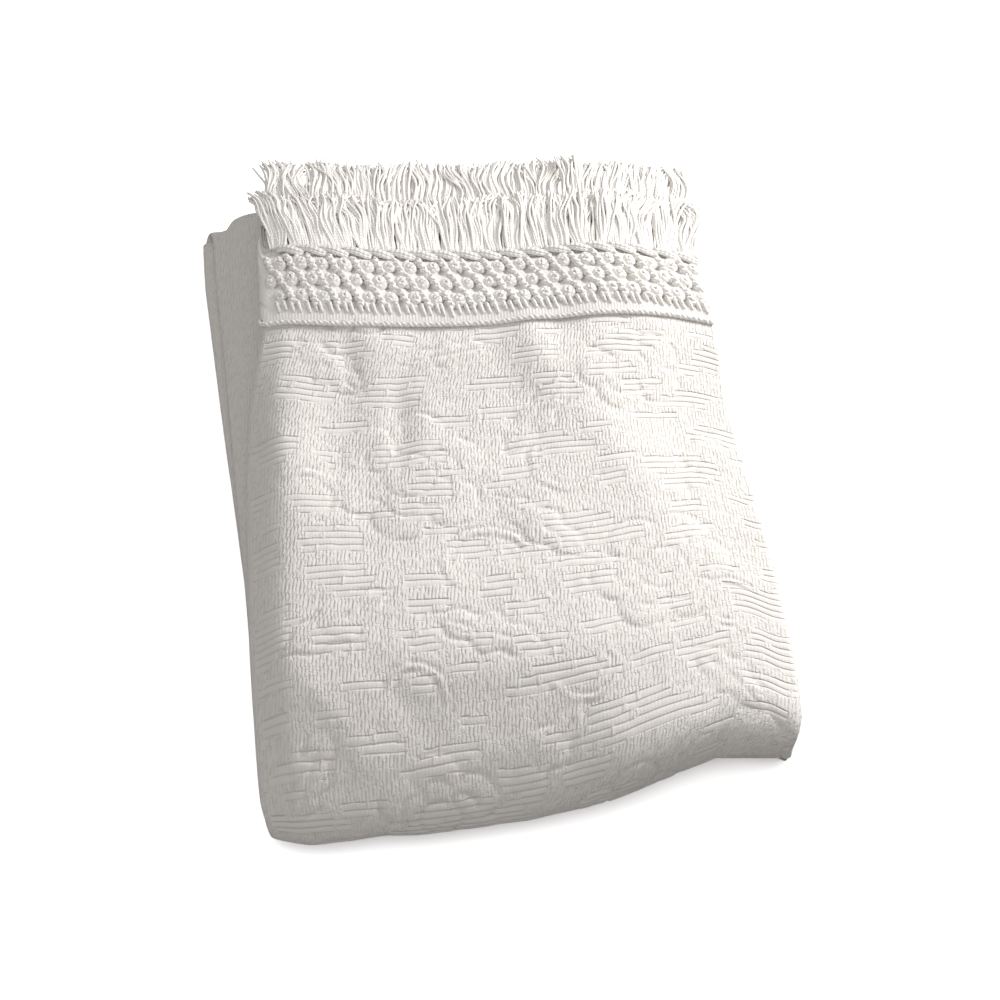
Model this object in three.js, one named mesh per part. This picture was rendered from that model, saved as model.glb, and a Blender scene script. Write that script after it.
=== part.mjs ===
import * as THREE from "three";
import { mergeVertices } from "three/addons/utils/BufferGeometryUtils.js";

// An ivory matelasse bedspread, folded into a bundle that lies on a table.
// Millimetres, +Z up. The smooth front fold faces -Y and the fringed hem lies at the back, towards +Y.
// The sheet is folded six layers across its width (a ply), and the ply is then rolled flat in six passes.

// Cloth and its folds
const CLOTH_THICK = 1.4;
const LAYERS_ACROSS = 6;
const LAYER_PITCH = 1.75;
const PLY_THICK = LAYER_PITCH * (LAYERS_ACROSS - 1) + CLOTH_THICK;
const PASSES = 6;
const PASS_PITCH = 10.7;
const BUNDLE_THICK = PASS_PITCH * (PASSES - 1) + PLY_THICK;
const FOLDED_WIDTH = 332;
const FOLDED_DEPTH = 480;
const FRONT_BEND = (PASS_PITCH * (PASSES - 1) + PLY_THICK) / 2;
const BACK_BEND = (PASS_PITCH * (PASSES - 2) + PLY_THICK) / 2;
const LEFT_BEND = PLY_THICK / 2;
const RIGHT_BEND = (LAYER_PITCH * (LAYERS_ACROSS - 2) + CLOTH_THICK) / 2;
const FREE_EDGE_REACH = 2;
const INNER_END_SHORT = 46;
const PASS_BEND_STEPS = 5;
const PLY_BEND_STEPS = 3;

// Where the hem lies on the top flap, and how far the ply's lowest layer reaches past its highest
const HEM_AT = 421;
const HEM_STAGGER = 38;
const STAGGER_RUN = 120;

// Stations across a layer, and along the top flap from the hem to the front fold
const ACROSS_STATIONS = [-132, -60, -8, 44, 104];
const HEADING_DEPTH = 71;
const FLAP_STATIONS = [HEM_AT - 35, HEM_AT - HEADING_DEPTH, 308, 260, 211, 160, 108, 66];
const HIDDEN_STATIONS = [232, 110];

// Plan of the bundle: edges of the top flap and of the passes under it, by share of the depth from front
const OUTLINE = [
  { share: 0.0, flapLeft: -155, flapRight: 158, underLeft: -155, underRight: 158 },
  { share: 0.02, flapLeft: -161, flapRight: 167, underLeft: -161, underRight: 167 },
  { share: 0.05, flapLeft: -165, flapRight: 172, underLeft: -165, underRight: 171 },
  { share: 0.14, flapLeft: -167, flapRight: 174, underLeft: -167, underRight: 172 },
  { share: 0.3, flapLeft: -170, flapRight: 173, underLeft: -172, underRight: 170 },
  { share: 0.48, flapLeft: -171, flapRight: 167.5, underLeft: -182, underRight: 164.5 },
  { share: 0.6, flapLeft: -168, flapRight: 164, underLeft: -189, underRight: 161 },
  { share: 0.67, flapLeft: -162, flapRight: 164, underLeft: -193, underRight: 159.5 },
  { share: 0.73, flapLeft: -157, flapRight: 164, underLeft: -196.5, underRight: 158.5 },
  { share: 0.8, flapLeft: -159, flapRight: 164, underLeft: -200.5, underRight: 157.5 },
  { share: 0.88, flapLeft: -164, flapRight: 164, underLeft: -205, underRight: 156.3 },
  { share: 1.0, flapLeft: -166, flapRight: 165, underLeft: -208, underRight: 154 },
];

// The front and back lines of the bundle, across its width. The flap ends a little short of the back.
const END_LINES = [
  { across: -210, front: -233, back: 288, flapBack: 275 },
  { across: -186, front: -233, back: 281, flapBack: 273 },
  { across: -172, front: -233, back: 287, flapBack: 272 },
  { across: -100, front: -232, back: 268, flapBack: 260 },
  { across: -23, front: -230, back: 256, flapBack: 252 },
  { across: 47, front: -221, back: 247, flapBack: 246 },
  { across: 107, front: -204, back: 240, flapBack: 239 },
  { across: 180, front: -205, back: 230, flapBack: 229 },
];

// The stack thins out towards its left flank, and a little towards its right edge.
// The flap's back half stays nearly level over the thin flank.
const FLANKS = [
  { across: -210, stack: 0.32, flapBack: 0.8 },
  { across: -172, stack: 0.72, flapBack: 0.91 },
  { across: -155, stack: 0.88, flapBack: 0.95 },
  { across: -140, stack: 0.955, flapBack: 0.975 },
  { across: -122, stack: 0.985, flapBack: 0.995 },
  { across: -100, stack: 1.0, flapBack: 1.0 },
  { across: 30, stack: 1.0, flapBack: 1.0 },
  { across: 75, stack: 0.97, flapBack: 0.985 },
  { across: 110, stack: 0.915, flapBack: 0.955 },
  { across: 145, stack: 0.83, flapBack: 0.905 },
  { across: 180, stack: 0.74, flapBack: 0.84 },
];
const FLAP_BACK_FROM = 0.52;
const FLAP_BACK_TO = 0.76;

// It bulges a little behind the front fold and thins out towards it, but not at the right
const ENDS = [
  { share: 0.0, thickness: 0.58 },
  { share: 0.04, thickness: 0.66 },
  { share: 0.08, thickness: 0.79 },
  { share: 0.13, thickness: 0.93 },
  { share: 0.17, thickness: 1.015 },
  { share: 0.22, thickness: 1.055 },
  { share: 0.28, thickness: 1.04 },
  { share: 0.36, thickness: 1.01 },
  { share: 0.46, thickness: 1.0 },
  { share: 1.0, thickness: 1.0 },
];
const ROUNDED = [
  { across: -210, share: 0.0, fuller: 1.0 },
  { across: -30, share: 0.0, fuller: 1.0 },
  { across: 20, share: 0.2, fuller: 1.03 },
  { across: 60, share: 0.55, fuller: 1.08 },
  { across: 100, share: 0.8, fuller: 1.12 },
  { across: 140, share: 0.92, fuller: 1.15 },
  { across: 180, share: 0.95, fuller: 1.15 },
];
const BEND_SHARE = 0.07;

// How the top flap stands off what it lies on: its rest, its rise towards the hem, and its soft swells
const FLAP_REST = 1.6;
const FLAP_RISE_FROM = 0.02;
const FLAP_RISE_TO = 0.16;
const HEM_LIFT = 4.4;
const HEM_LIFT_FROM = 0.55;
const HEM_LIFT_TO = 0.76;
const SWELLS = [
  { across: 92, share: 0.86, reachAcross: 44, reachShare: 0.3, height: 8 },
  { across: -112, share: 0.86, reachAcross: 46, reachShare: 0.26, height: 5 },
  { across: -70, share: 0.34, reachAcross: 60, reachShare: 0.16, height: 4 },
  { across: 40, share: 0.42, reachAcross: 70, reachShare: 0.2, height: 3 },
];

// Raised quilting of the top face: flower heads and leaves, on a fine grid inside the flap's border
const QUILT_COLUMNS = 23;
const QUILT_ROWS = 26;
const QUILT_BASE = 0.35;
const QUILT_RISE = 1.3;
const PETAL_DEPTH = 0.28;
const FLOWERS = [
  { across: -58, along: 226, radius: 52, petals: 6, turn: 0.3 },
  { across: 92, along: 132, radius: 46, petals: 6, turn: 0.0 },
  { across: 98, along: 304, radius: 38, petals: 5, turn: 0.6 },
];
const LEAVES = [
  { across: 30, along: 268, length: 78, width: 26, turn: 0.9 },
  { across: 22, along: 178, length: 80, width: 26, turn: -0.8 },
  { across: -110, along: 118, length: 84, width: 28, turn: 0.5 },
  { across: -20, along: 104, length: 76, width: 26, turn: -0.4 },
  { across: -112, along: 316, length: 70, width: 24, turn: -0.7 },
  { across: -30, along: 326, length: 70, width: 22, turn: 0.2 },
  { across: 134, along: 220, length: 70, width: 22, turn: 1.2 },
];

// Trim: a knotted heading that lies on the cloth, and the fringe that grows out behind the hem
const TRIM_GAP = 0.85;
// Columns of knots between the stations of the top layer, from right to left, and of the layer under the ply
const TOP_COLUMNS = [7, 7, 6, 7, 9, 4];
const UNDER_COLUMNS = [1, 2, 2, 2, 2, 2];
const HEADING_ROWS = [
  { fromHem: 70, knot: 1.4, between: 1.4 },
  { fromHem: 67.4, knot: 3.2, between: 2.8 },
  { fromHem: 64.5, knot: 1.3, between: 1.3 },
  { fromHem: 59, knot: 1.9, between: 1.9 },
  { fromHem: 53, knot: 1.3, between: 1.3 },
  { fromHem: 46, knot: 3.2, between: 1.1 },
  { fromHem: 31.5, knot: 1.1, between: 3.2 },
  { fromHem: 17, knot: 3.2, between: 1.1 },
  { fromHem: 11, knot: 1.3, between: 1.3 },
  { fromHem: 6, knot: 3.3, between: 2.7 },
  { fromHem: 0.6, knot: 1.5, between: 1.5 },
];

// The fringe's root strip, its gaps to the hem, and its two runs of locks
const ROOT_THICK = 1.1;
const ROOT_DEPTH = 3.2;
const HEM_GAP = 0.45;
const FOLD_END_GAP = 1.6;
const FOLD_HEM_GAP = 8;
const FOLD_STAND_OFF = 0.9;
const UPPER_STAND_OFF = 0.15;
const UPPER_LOCKS = 90;
const LOWER_LOCKS = 55;
const UPPER_RUN = {
  length: 55,
  longer: 0,
  leanLeft: -13,
  leanRight: 12,
  outward: 1,
  stops: [
    { along: 0.45, rise: 1.6, wide: 2.2, thick: 1.8 },
    { along: 1.0, rise: -1.2, wide: 1.0, thick: 0.9 },
  ],
};
const LOWER_RUN = {
  length: 64,
  longer: 4,
  leanLeft: -16,
  leanRight: 16,
  outward: -1,
  stops: [
    { along: 0.45, rise: 0.2, wide: 3.6, thick: 1.8 },
    { along: 1.0, rise: -9, wide: 1.6, thick: 0.9 },
  ],
};

// How the locks lean and end unevenly along the hem
const SWAY_WAVES = [
  { height: 3.6, reach: 34, start: 0 },
  { height: 1.26, reach: 11, start: 1 },
];
const LENGTH_WAVES = [
  { height: 3, reach: 23, start: 2 },
  { height: 2, reach: 7, start: 0 },
];

// Colours of the cotton
const CLOTH_COLOUR = 0xe9e5dc;
const HEADING_COLOUR = 0xe4dfd4;
const FRINGE_COLOUR = 0xe6e1d6;

const mix = (from, to, share) => from + (to - from) * share;

const smooth = (from, to, at) => THREE.MathUtils.smoothstep(at, from, to);

// Reads a table at a place between two of its rows.
function readTable(table, key, at, column) {
  let row = 0;
  while (row < table.length - 2 && at > table[row + 1][key]) {
    row += 1;
  }
  const from = table[row];
  const to = table[row + 1];
  const share = THREE.MathUtils.clamp((at - from[key]) / (to[key] - from[key]), 0, 1);
  return mix(from[column], to[column], share);
}

// A flat spiral of straight runs with half-round bends: the stations along it, with their outward normals.
function rollFold({ runs, pitch, near, far, start, end, stationsOf, bendSteps }) {
  const level = (run) => ((run % 2 === 0 ? runs - 1 - run : run - runs) / 2) * pitch;
  const path = [];
  for (let run = 0; run < runs; run += 1) {
    const outward = run % 2 === 0 ? 1 : -1;
    const first = run === 0 ? start : outward > 0 ? far : near;
    const last = run === runs - 1 ? end : outward > 0 ? near : far;
    const low = Math.min(first, last) + 1;
    const high = Math.max(first, last) - 1;
    const inside = stationsOf(run).filter((at) => at > low && at < high);
    inside.sort((one, other) => (other - one) * outward);
    for (const at of [first, ...inside, last]) {
      path.push({ run, turn: 0, at, level: level(run), normalAt: 0, normalLevel: outward });
    }
    if (run < runs - 1) {
      const centre = (level(run) + level(run + 1)) / 2;
      const radius = Math.abs(level(run) - level(run + 1)) / 2;
      for (let step = 1; step < bendSteps; step += 1) {
        const turn = step / bendSteps;
        const normalAt = -outward * Math.sin(Math.PI * turn);
        const normalLevel = outward * Math.cos(Math.PI * turn);
        path.push({
          run,
          turn,
          at: last + radius * normalAt,
          level: centre + radius * normalLevel,
          normalAt,
          normalLevel,
        });
      }
    }
  }
  return path;
}

// The ply: a section across the width, as its outer points followed by its inner points in reverse.
const plyPath = rollFold({
  runs: LAYERS_ACROSS,
  pitch: LAYER_PITCH,
  near: -FOLDED_WIDTH / 2 + LEFT_BEND,
  far: FOLDED_WIDTH / 2 - RIGHT_BEND,
  start: FOLDED_WIDTH / 2 - RIGHT_BEND + FREE_EDGE_REACH,
  end: FOLDED_WIDTH / 2 - RIGHT_BEND,
  stationsOf: () => [...ACROSS_STATIONS],
  bendSteps: PLY_BEND_STEPS,
});

const facePoint = (station, side) => ({
  across: station.at + (side * station.normalAt * CLOTH_THICK) / 2,
  height: station.level + (side * station.normalLevel * CLOTH_THICK) / 2,
  middle: station.level,
});

const outerSide = plyPath.map((station) => facePoint(station, 1));
const innerSide = plyPath.map((station) => facePoint(station, -1));
const section = [...outerSide, ...innerSide.toReversed()];

// The passes: the line along which the ply is swept, from the hem to the sheet's other end deep inside.
const passPath = rollFold({
  runs: PASSES,
  pitch: PASS_PITCH,
  near: FRONT_BEND,
  far: FOLDED_DEPTH - BACK_BEND,
  start: HEM_AT,
  end: FOLDED_DEPTH - INNER_END_SHORT,
  stationsOf: (run) => (run === 0 ? [...FLAP_STATIONS] : [...HIDDEN_STATIONS]),
  bendSteps: PASS_BEND_STEPS,
});

// How far the top flap stands off the passes under it.
function flapLift(across, share) {
  let lift = FLAP_REST + HEM_LIFT * smooth(HEM_LIFT_FROM, HEM_LIFT_TO, share);
  for (const swell of SWELLS) {
    const side = (across - swell.across) / swell.reachAcross;
    const along = (share - swell.share) / swell.reachShare;
    lift += swell.height * Math.exp(-side * side - along * along);
  }
  return lift * smooth(FLAP_RISE_FROM, FLAP_RISE_TO, share);
}

// Puts a point of the ideal bundle (across, depth from the front, height) into the uneven bundle.
function settle(across, depth, height, under) {
  const share = depth / FOLDED_DEPTH;
  const left = mix(
    readTable(OUTLINE, "share", share, "flapLeft"),
    readTable(OUTLINE, "share", share, "underLeft"),
    under,
  );
  const right = mix(
    readTable(OUTLINE, "share", share, "flapRight"),
    readTable(OUTLINE, "share", share, "underRight"),
    under,
  );
  const x = mix(left, right, across / FOLDED_WIDTH + 0.5);
  const front = readTable(END_LINES, "across", x, "front");
  const atBack = (1 - under) * smooth(FLAP_BACK_FROM, FLAP_BACK_TO, share);
  const back = mix(
    readTable(END_LINES, "across", x, "back"),
    readTable(END_LINES, "across", x, "flapBack"),
    atBack,
  );
  const inBend = Math.min(Math.max(share / BEND_SHARE, 0), 1);
  const fuller = BEND_SHARE * (inBend ** readTable(ROUNDED, "across", x, "fuller") - inBend);
  const y = mix(front, back, share + fuller);
  const stack = readTable(FLANKS, "across", x, "stack");
  const flapBack = readTable(FLANKS, "across", x, "flapBack");
  const atFront = readTable(ENDS, "share", share, "thickness");
  const rounded = readTable(ROUNDED, "across", x, "share");
  const thickness = mix(stack, flapBack, atBack) * mix(atFront, 1, rounded);
  const z = height * thickness + (1 - under) * flapLift(x, share);
  return new THREE.Vector3(x, y, z);
}

// One point of the sheet: a station of the passes and a point of the ply's section.
function sheetPoint(station, point) {
  const under = station.run === 0 ? station.turn : 1;
  const fromHem = HEM_AT - station.at;
  const reach = station.run === 0 && station.turn === 0 ? 1 - smooth(0, STAGGER_RUN, fromHem) : 0;
  const stagger = HEM_STAGGER * reach * (0.5 - point.middle / (PLY_THICK - CLOTH_THICK));
  const depth = station.at + station.normalAt * point.height + stagger;
  const height = station.level + station.normalLevel * point.height + BUNDLE_THICK / 2;
  return settle(point.across, depth, height, under);
}

const sheetRows = passPath.map((station) => section.map((point) => sheetPoint(station, point)));

// Which diagonal splits a quad: the one that runs the same way in plan in every layer, so that
// nested layers stay apart.
// Even runs of the passes head towards the front, and odd ones towards the back.
function splitsFromStart(a, b, run) {
  const heading = run % 2 === 0 ? -1 : 1;
  return (b.x - a.x) * heading > 0;
}

function splitQuad(faces, a, b, c, d, run) {
  if (splitsFromStart(a, b, run)) {
    faces.push(a, b, c, a, c, d);
  } else {
    faces.push(a, b, d, b, c, d);
  }
}

// A closed geometry from a flat list of triangle corners, turned to face outwards.
function closedGeometry(corners) {
  let volume = 0;
  const cross = new THREE.Vector3();
  for (let i = 0; i < corners.length; i += 3) {
    volume += corners[i].dot(cross.crossVectors(corners[i + 1], corners[i + 2]));
  }
  const positions = [];
  for (let i = 0; i < corners.length; i += 3) {
    const [a, b, c] = [corners[i], corners[i + 1], corners[i + 2]];
    for (const corner of volume > 0 ? [a, b, c] : [a, c, b]) {
      positions.push(corner.x, corner.y, corner.z);
    }
  }
  const geometry = new THREE.BufferGeometry();
  geometry.setAttribute("position", new THREE.Float32BufferAttribute(positions, 3));
  const welded = mergeVertices(geometry, 1e-3);
  welded.computeVertexNormals();
  return welded;
}

// A point on the outer side of the sheet, between two columns of the section and two rows of the passes.
function onSheet(column, row) {
  const c = Math.min(Math.floor(column), outerSide.length - 2);
  const r = Math.min(Math.floor(row), sheetRows.length - 2);
  const u = column - c;
  const v = row - r;
  const a = sheetRows[r][c];
  const b = sheetRows[r][c + 1];
  const far = sheetRows[r + 1][c + 1];
  const d = sheetRows[r + 1][c];
  const along = (from, to, share) => new THREE.Vector3().subVectors(to, from).multiplyScalar(share);
  if (splitsFromStart(a, b, passPath[r].run)) {
    if (u > v) {
      return a.clone().add(along(a, b, u)).add(along(b, far, v));
    }
    return a.clone().add(along(a, d, v)).add(along(d, far, u));
  }
  if (u + v < 1) {
    return a.clone().add(along(a, b, u)).add(along(a, d, v));
  }
  return far.clone().add(along(far, d, 1 - u)).add(along(far, b, 1 - v));
}

// Joins two open lines of points that run side by side, each with its share of the way.
function zipLines(faces, outer, inner) {
  let i = 0;
  let j = 0;
  while (i < outer.length - 1 || j < inner.length - 1) {
    const nextOuter = i < outer.length - 1 ? outer[i + 1].share : Infinity;
    const nextInner = j < inner.length - 1 ? inner[j + 1].share : Infinity;
    if (nextOuter <= nextInner) {
      faces.push(outer[i].point, outer[i + 1].point, inner[j].point);
      i += 1;
    } else {
      faces.push(outer[i].point, inner[j + 1].point, inner[j].point);
      j += 1;
    }
  }
}

// Height of the quilting over the flap's top face, from none to one.
function quilting(x, y) {
  let rise = 0;
  for (const flower of FLOWERS) {
    const dx = x - flower.across;
    const dy = y - flower.along;
    const out = Math.hypot(dx, dy) / flower.radius;
    const lobe = Math.cos(flower.petals * (Math.atan2(dy, dx) - flower.turn));
    const petal = 1 - PETAL_DEPTH + PETAL_DEPTH * lobe;
    rise = Math.max(rise, 1 - smooth(0.75, 1.15, out / petal));
  }
  for (const leaf of LEAVES) {
    const dx = x - leaf.across;
    const dy = y - leaf.along;
    const along = (dx * Math.cos(leaf.turn) + dy * Math.sin(leaf.turn)) / (leaf.length / 2);
    const side = (dy * Math.cos(leaf.turn) - dx * Math.sin(leaf.turn)) / (leaf.width / 2);
    const edge = 1 - along * along;
    if (edge > 0) {
      rise = Math.max(rise, 1 - smooth(0.7, 1.2, Math.abs(side) / edge));
    }
  }
  return rise;
}

// The spread: the ply swept along the passes, closed at both ends, with the quilted face let into the flap.
function makeSpread() {
  const faces = [];
  const flapColumns = ACROSS_STATIONS.length + 1;
  const quiltFrom = 2;
  const quiltTo = FLAP_STATIONS.length + 1;
  for (let r = 0; r < sheetRows.length - 1; r += 1) {
    for (let c = 0; c < section.length; c += 1) {
      const quilted = r >= quiltFrom && r < quiltTo && c < flapColumns;
      if (!quilted) {
        const next = (c + 1) % section.length;
        const [row, nextRow] = [sheetRows[r], sheetRows[r + 1]];
        splitQuad(faces, row[c], row[next], nextRow[next], nextRow[c], passPath[r].run);
      }
    }
  }

  const quiltPoint = (i, j) => {
    const u = (i + 0.5) / QUILT_COLUMNS;
    const v = (j + 0.5) / QUILT_ROWS;
    const point = onSheet(u * flapColumns, mix(quiltFrom, quiltTo, v));
    const depth = point.y - readTable(END_LINES, "across", point.x, "front");
    point.z += QUILT_BASE + QUILT_RISE * quilting(point.x, depth);
    return point;
  };
  const quilt = [];
  for (let j = 0; j < QUILT_ROWS; j += 1) {
    quilt.push(Array.from({ length: QUILT_COLUMNS }, (_, i) => quiltPoint(i, j)));
  }
  for (let j = 0; j < QUILT_ROWS - 1; j += 1) {
    for (let i = 0; i < QUILT_COLUMNS - 1; i += 1) {
      splitQuad(faces, quilt[j][i], quilt[j][i + 1], quilt[j + 1][i + 1], quilt[j + 1][i], 0);
    }
  }

  const spread = (points) => points.map((point, i) => ({ point, share: i / (points.length - 1) }));
  const rowOf = (r) => sheetRows[r].slice(0, flapColumns + 1);
  const columnOf = (c) => sheetRows.slice(quiltFrom, quiltTo + 1).map((row) => row[c]);
  const quiltColumn = (i) => quilt.map((row) => row[i]);
  zipLines(faces, spread(rowOf(quiltFrom)), spread(quilt[0]));
  zipLines(faces, spread(columnOf(flapColumns)), spread(quiltColumn(QUILT_COLUMNS - 1)));
  zipLines(faces, spread(rowOf(quiltTo).toReversed()), spread(quilt[QUILT_ROWS - 1].toReversed()));
  zipLines(faces, spread(columnOf(0).toReversed()), spread(quiltColumn(0).toReversed()));

  const cap = (row, forward) => {
    for (let i = 0; i < plyPath.length - 1; i += 1) {
      const [a, b] = [row[i], row[i + 1]];
      const [c, d] = [row[section.length - 2 - i], row[section.length - 1 - i]];
      if (forward) {
        faces.push(a, c, b, a, d, c);
      } else {
        faces.push(a, b, c, a, c, d);
      }
    }
  };
  cap(sheetRows[0], true);
  cap(sheetRows.at(-1), false);
  return closedGeometry(faces);
}

// Columns of the trim: along the top layer from right to left, round the left fold, and back under the ply.
const topColumns = ACROSS_STATIONS.length + 1;
const foldColumns = PLY_BEND_STEPS;
const lowerColumns = ACROSS_STATIONS.length + 1;

// The column at a share of the way across one layer, which starts at a column and spans a count of them.
function columnAcross(start, count, share) {
  const at = mix(plyPath[start].at, plyPath[start + count].at, share);
  const heading = Math.sign(plyPath[start + count].at - plyPath[start].at);
  let column = start;
  while (column < start + count - 1 && (at - plyPath[column + 1].at) * heading > 0) {
    column += 1;
  }
  return column + (at - plyPath[column].at) / (plyPath[column + 1].at - plyPath[column].at);
}

// Columns of the heading's knots, with a given count of them between each two stations of the ply
const stepColumns = (start, counts) =>
  counts.flatMap((count, span) => Array.from({ length: count }, (_, i) => start + span + i / count));

const trimColumns = [
  ...stepColumns(0, TOP_COLUMNS),
  ...stepColumns(topColumns, Array(foldColumns).fill(1)),
  ...stepColumns(topColumns + foldColumns, UNDER_COLUMNS),
  topColumns + foldColumns + lowerColumns,
].map((column, i) => ({ column, raised: i % 2 === 0 }));

// A row number on the flap for a distance from the hem.
function rowFromHem(distance) {
  const stops = [HEM_AT, ...FLAP_STATIONS].map((at) => HEM_AT - at);
  let row = 0;
  while (distance > stops[row + 1]) {
    row += 1;
  }
  return row + (distance - stops[row]) / (stops[row + 1] - stops[row]);
}

// The outward direction of the ply's section at a column.
function outward(column) {
  const c = Math.min(Math.floor(column), plyPath.length - 2);
  const share = column - c;
  const x = mix(plyPath[c].normalAt, plyPath[c + 1].normalAt, share);
  const z = mix(plyPath[c].normalLevel, plyPath[c + 1].normalLevel, share);
  return new THREE.Vector3(x, 0, z).normalize();
}

// The heading: a band of one length that wraps the left fold, with its welt, knots and chain raised.
function makeHeading() {
  const under = [];
  const over = [];
  for (const { fromHem, knot, between } of HEADING_ROWS) {
    const row = rowFromHem(fromHem);
    const underRow = [];
    const overRow = [];
    for (const { column, raised } of trimColumns) {
      const base = onSheet(column, row);
      const direction = outward(column);
      underRow.push(base.clone().addScaledVector(direction, TRIM_GAP));
      overRow.push(base.clone().addScaledVector(direction, TRIM_GAP + (raised ? knot : between)));
    }
    under.push(underRow);
    over.push(overRow);
  }
  const faces = [];
  const rows = HEADING_ROWS.length;
  const columns = trimColumns.length;
  for (let r = 0; r < rows - 1; r += 1) {
    for (let c = 0; c < columns - 1; c += 1) {
      faces.push(over[r][c], over[r + 1][c + 1], over[r][c + 1]);
      faces.push(over[r][c], over[r + 1][c], over[r + 1][c + 1]);
      splitQuad(faces, under[r][c], under[r][c + 1], under[r + 1][c + 1], under[r + 1][c], 1);
    }
    const last = columns - 1;
    faces.push(over[r][0], under[r][0], under[r + 1][0], over[r][0], under[r + 1][0], over[r + 1][0]);
    faces.push(over[r][last], under[r + 1][last], under[r][last]);
    faces.push(over[r][last], over[r + 1][last], under[r + 1][last]);
  }
  const end = rows - 1;
  for (let c = 0; c < columns - 1; c += 1) {
    faces.push(over[0][c], under[0][c + 1], under[0][c], over[0][c], over[0][c + 1], under[0][c + 1]);
    faces.push(over[end][c], under[end][c], under[end][c + 1]);
    faces.push(over[end][c], under[end][c + 1], over[end][c + 1]);
  }
  return closedGeometry(faces);
}

// The hem's edge at a column: the middle of the cloth's thickness, and the way out of the section there.
function hemEdge(column) {
  const direction = outward(column);
  const point = onSheet(column, 0).addScaledVector(direction, -CLOTH_THICK / 2);
  return { point, direction };
}

// Stations of the fringe's root strip, one for each side of a lock, and plain ones round the left fold.
const rootStations = [];
for (let i = 0; i <= UPPER_LOCKS; i += 1) {
  const column = columnAcross(0, topColumns, i / UPPER_LOCKS);
  rootStations.push({ column, run: i < UPPER_LOCKS ? UPPER_RUN : null });
}
for (let i = 1; i < foldColumns; i += 1) {
  rootStations.push({ column: topColumns + i, run: null });
}
for (let i = 0; i <= LOWER_LOCKS; i += 1) {
  const column = columnAcross(topColumns + foldColumns, lowerColumns, i / LOWER_LOCKS);
  rootStations.push({ column, run: i < LOWER_LOCKS ? LOWER_RUN : null });
}

// The four corners of the root strip at a column: front and back edge outside, then back and front inside.
function rootRing({ column }) {
  const { point, direction } = hemEdge(column);
  const intoFold = Math.min(column - topColumns, topColumns + foldColumns - column);
  const frontEdge = intoFold > 0 ? FOLD_HEM_GAP : intoFold === 0 ? FOLD_END_GAP : HEM_GAP;
  const standOff = intoFold > 0 ? FOLD_STAND_OFF : column < topColumns ? UPPER_STAND_OFF : 0;
  const corner = (back, side) =>
    point
      .clone()
      .add(new THREE.Vector3(0, back, 0))
      .addScaledVector(direction, standOff + (side * ROOT_THICK) / 2);
  const backEdge = frontEdge + ROOT_DEPTH;
  return [corner(frontEdge, 1), corner(backEdge, 1), corner(backEdge, -1), corner(frontEdge, -1)];
}

const sumWaves = (waves, x) =>
  waves.reduce((sum, { height, reach, start }) => sum + height * Math.sin(x / reach + start), 0);

// Adds one lock to the strip: a four-sided strand that grows out of a stretch of the strip's back face.
function addLock(faces, root, run) {
  const middle = new THREE.Vector3();
  root.forEach((corner) => middle.addScaledVector(corner, 1 / root.length));
  const toRight = smooth(0, FOLDED_WIDTH / 2, middle.x);
  const toLeft = smooth(0, FOLDED_WIDTH / 2, -middle.x);
  const length = run.length + run.longer * toRight + sumWaves(LENGTH_WAVES, middle.x);
  const sway = run.leanLeft * toLeft + run.leanRight * toRight + sumWaves(SWAY_WAVES, middle.x);
  const turned = root[1].x > root[0].x ? 1 : -1;
  const ring = ({ along, rise, wide, thick }) => {
    const centre = new THREE.Vector3(
      middle.x + sway * along * along,
      middle.y + length * along,
      middle.z + rise,
    );
    return root.map((_, k) => {
      const side = k === 0 || k === 3 ? -turned : turned;
      const up = (k < 2 ? 1 : -1) * run.outward;
      return centre.clone().add(new THREE.Vector3((side * wide) / 2, 0, (up * thick) / 2));
    });
  };
  let from = root;
  for (const stop of run.stops) {
    const to = ring(stop);
    for (let k = 0; k < 4; k += 1) {
      const next = (k + 1) % 4;
      faces.push(from[k], from[next], to[next], from[k], to[next], to[k]);
    }
    from = to;
  }
  faces.push(from[0], from[1], from[2], from[0], from[2], from[3]);
}

// The fringe: the locks of both runs, with their roots fused into the one narrow strip.
function makeFringe() {
  const rings = rootStations.map(rootRing);
  const faces = [];
  for (let i = 0; i < rings.length - 1; i += 1) {
    const [from, to] = [rings[i], rings[i + 1]];
    for (let k = 0; k < 4; k += 1) {
      const next = (k + 1) % 4;
      const back = k === 1;
      if (back && rootStations[i].run) {
        addLock(faces, [from[1], to[1], to[2], from[2]], rootStations[i].run);
      } else {
        faces.push(from[k], to[next], from[next], from[k], to[k], to[next]);
      }
    }
  }
  const [first, last] = [rings[0], rings.at(-1)];
  faces.push(first[0], first[1], first[2], first[0], first[2], first[3]);
  faces.push(last[0], last[2], last[1], last[0], last[3], last[2]);
  return closedGeometry(faces);
}

function namedMesh(name, geometry, colour, roughness) {
  const material = new THREE.MeshStandardMaterial({ color: colour, roughness, metalness: 0 });
  const mesh = new THREE.Mesh(geometry, material);
  mesh.name = name;
  return mesh;
}

const bundle = new THREE.Group();
bundle.add(namedMesh("spread_cloth", makeSpread(), CLOTH_COLOUR, 0.9));
bundle.add(namedMesh("trim_heading", makeHeading(), HEADING_COLOUR, 0.92));
bundle.add(namedMesh("trim_fringe", makeFringe(), FRINGE_COLOUR, 0.92));

// The origin is the middle of the bundle's box, on the surface that it lies on.
const box = new THREE.Box3().setFromObject(bundle);
const middle = box.getCenter(new THREE.Vector3());
bundle.position.set(-middle.x, -middle.y, -box.min.z);

const bedspread = new THREE.Group();
bedspread.add(bundle);

export default bedspread;
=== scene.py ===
import math
from types import SimpleNamespace

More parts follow.
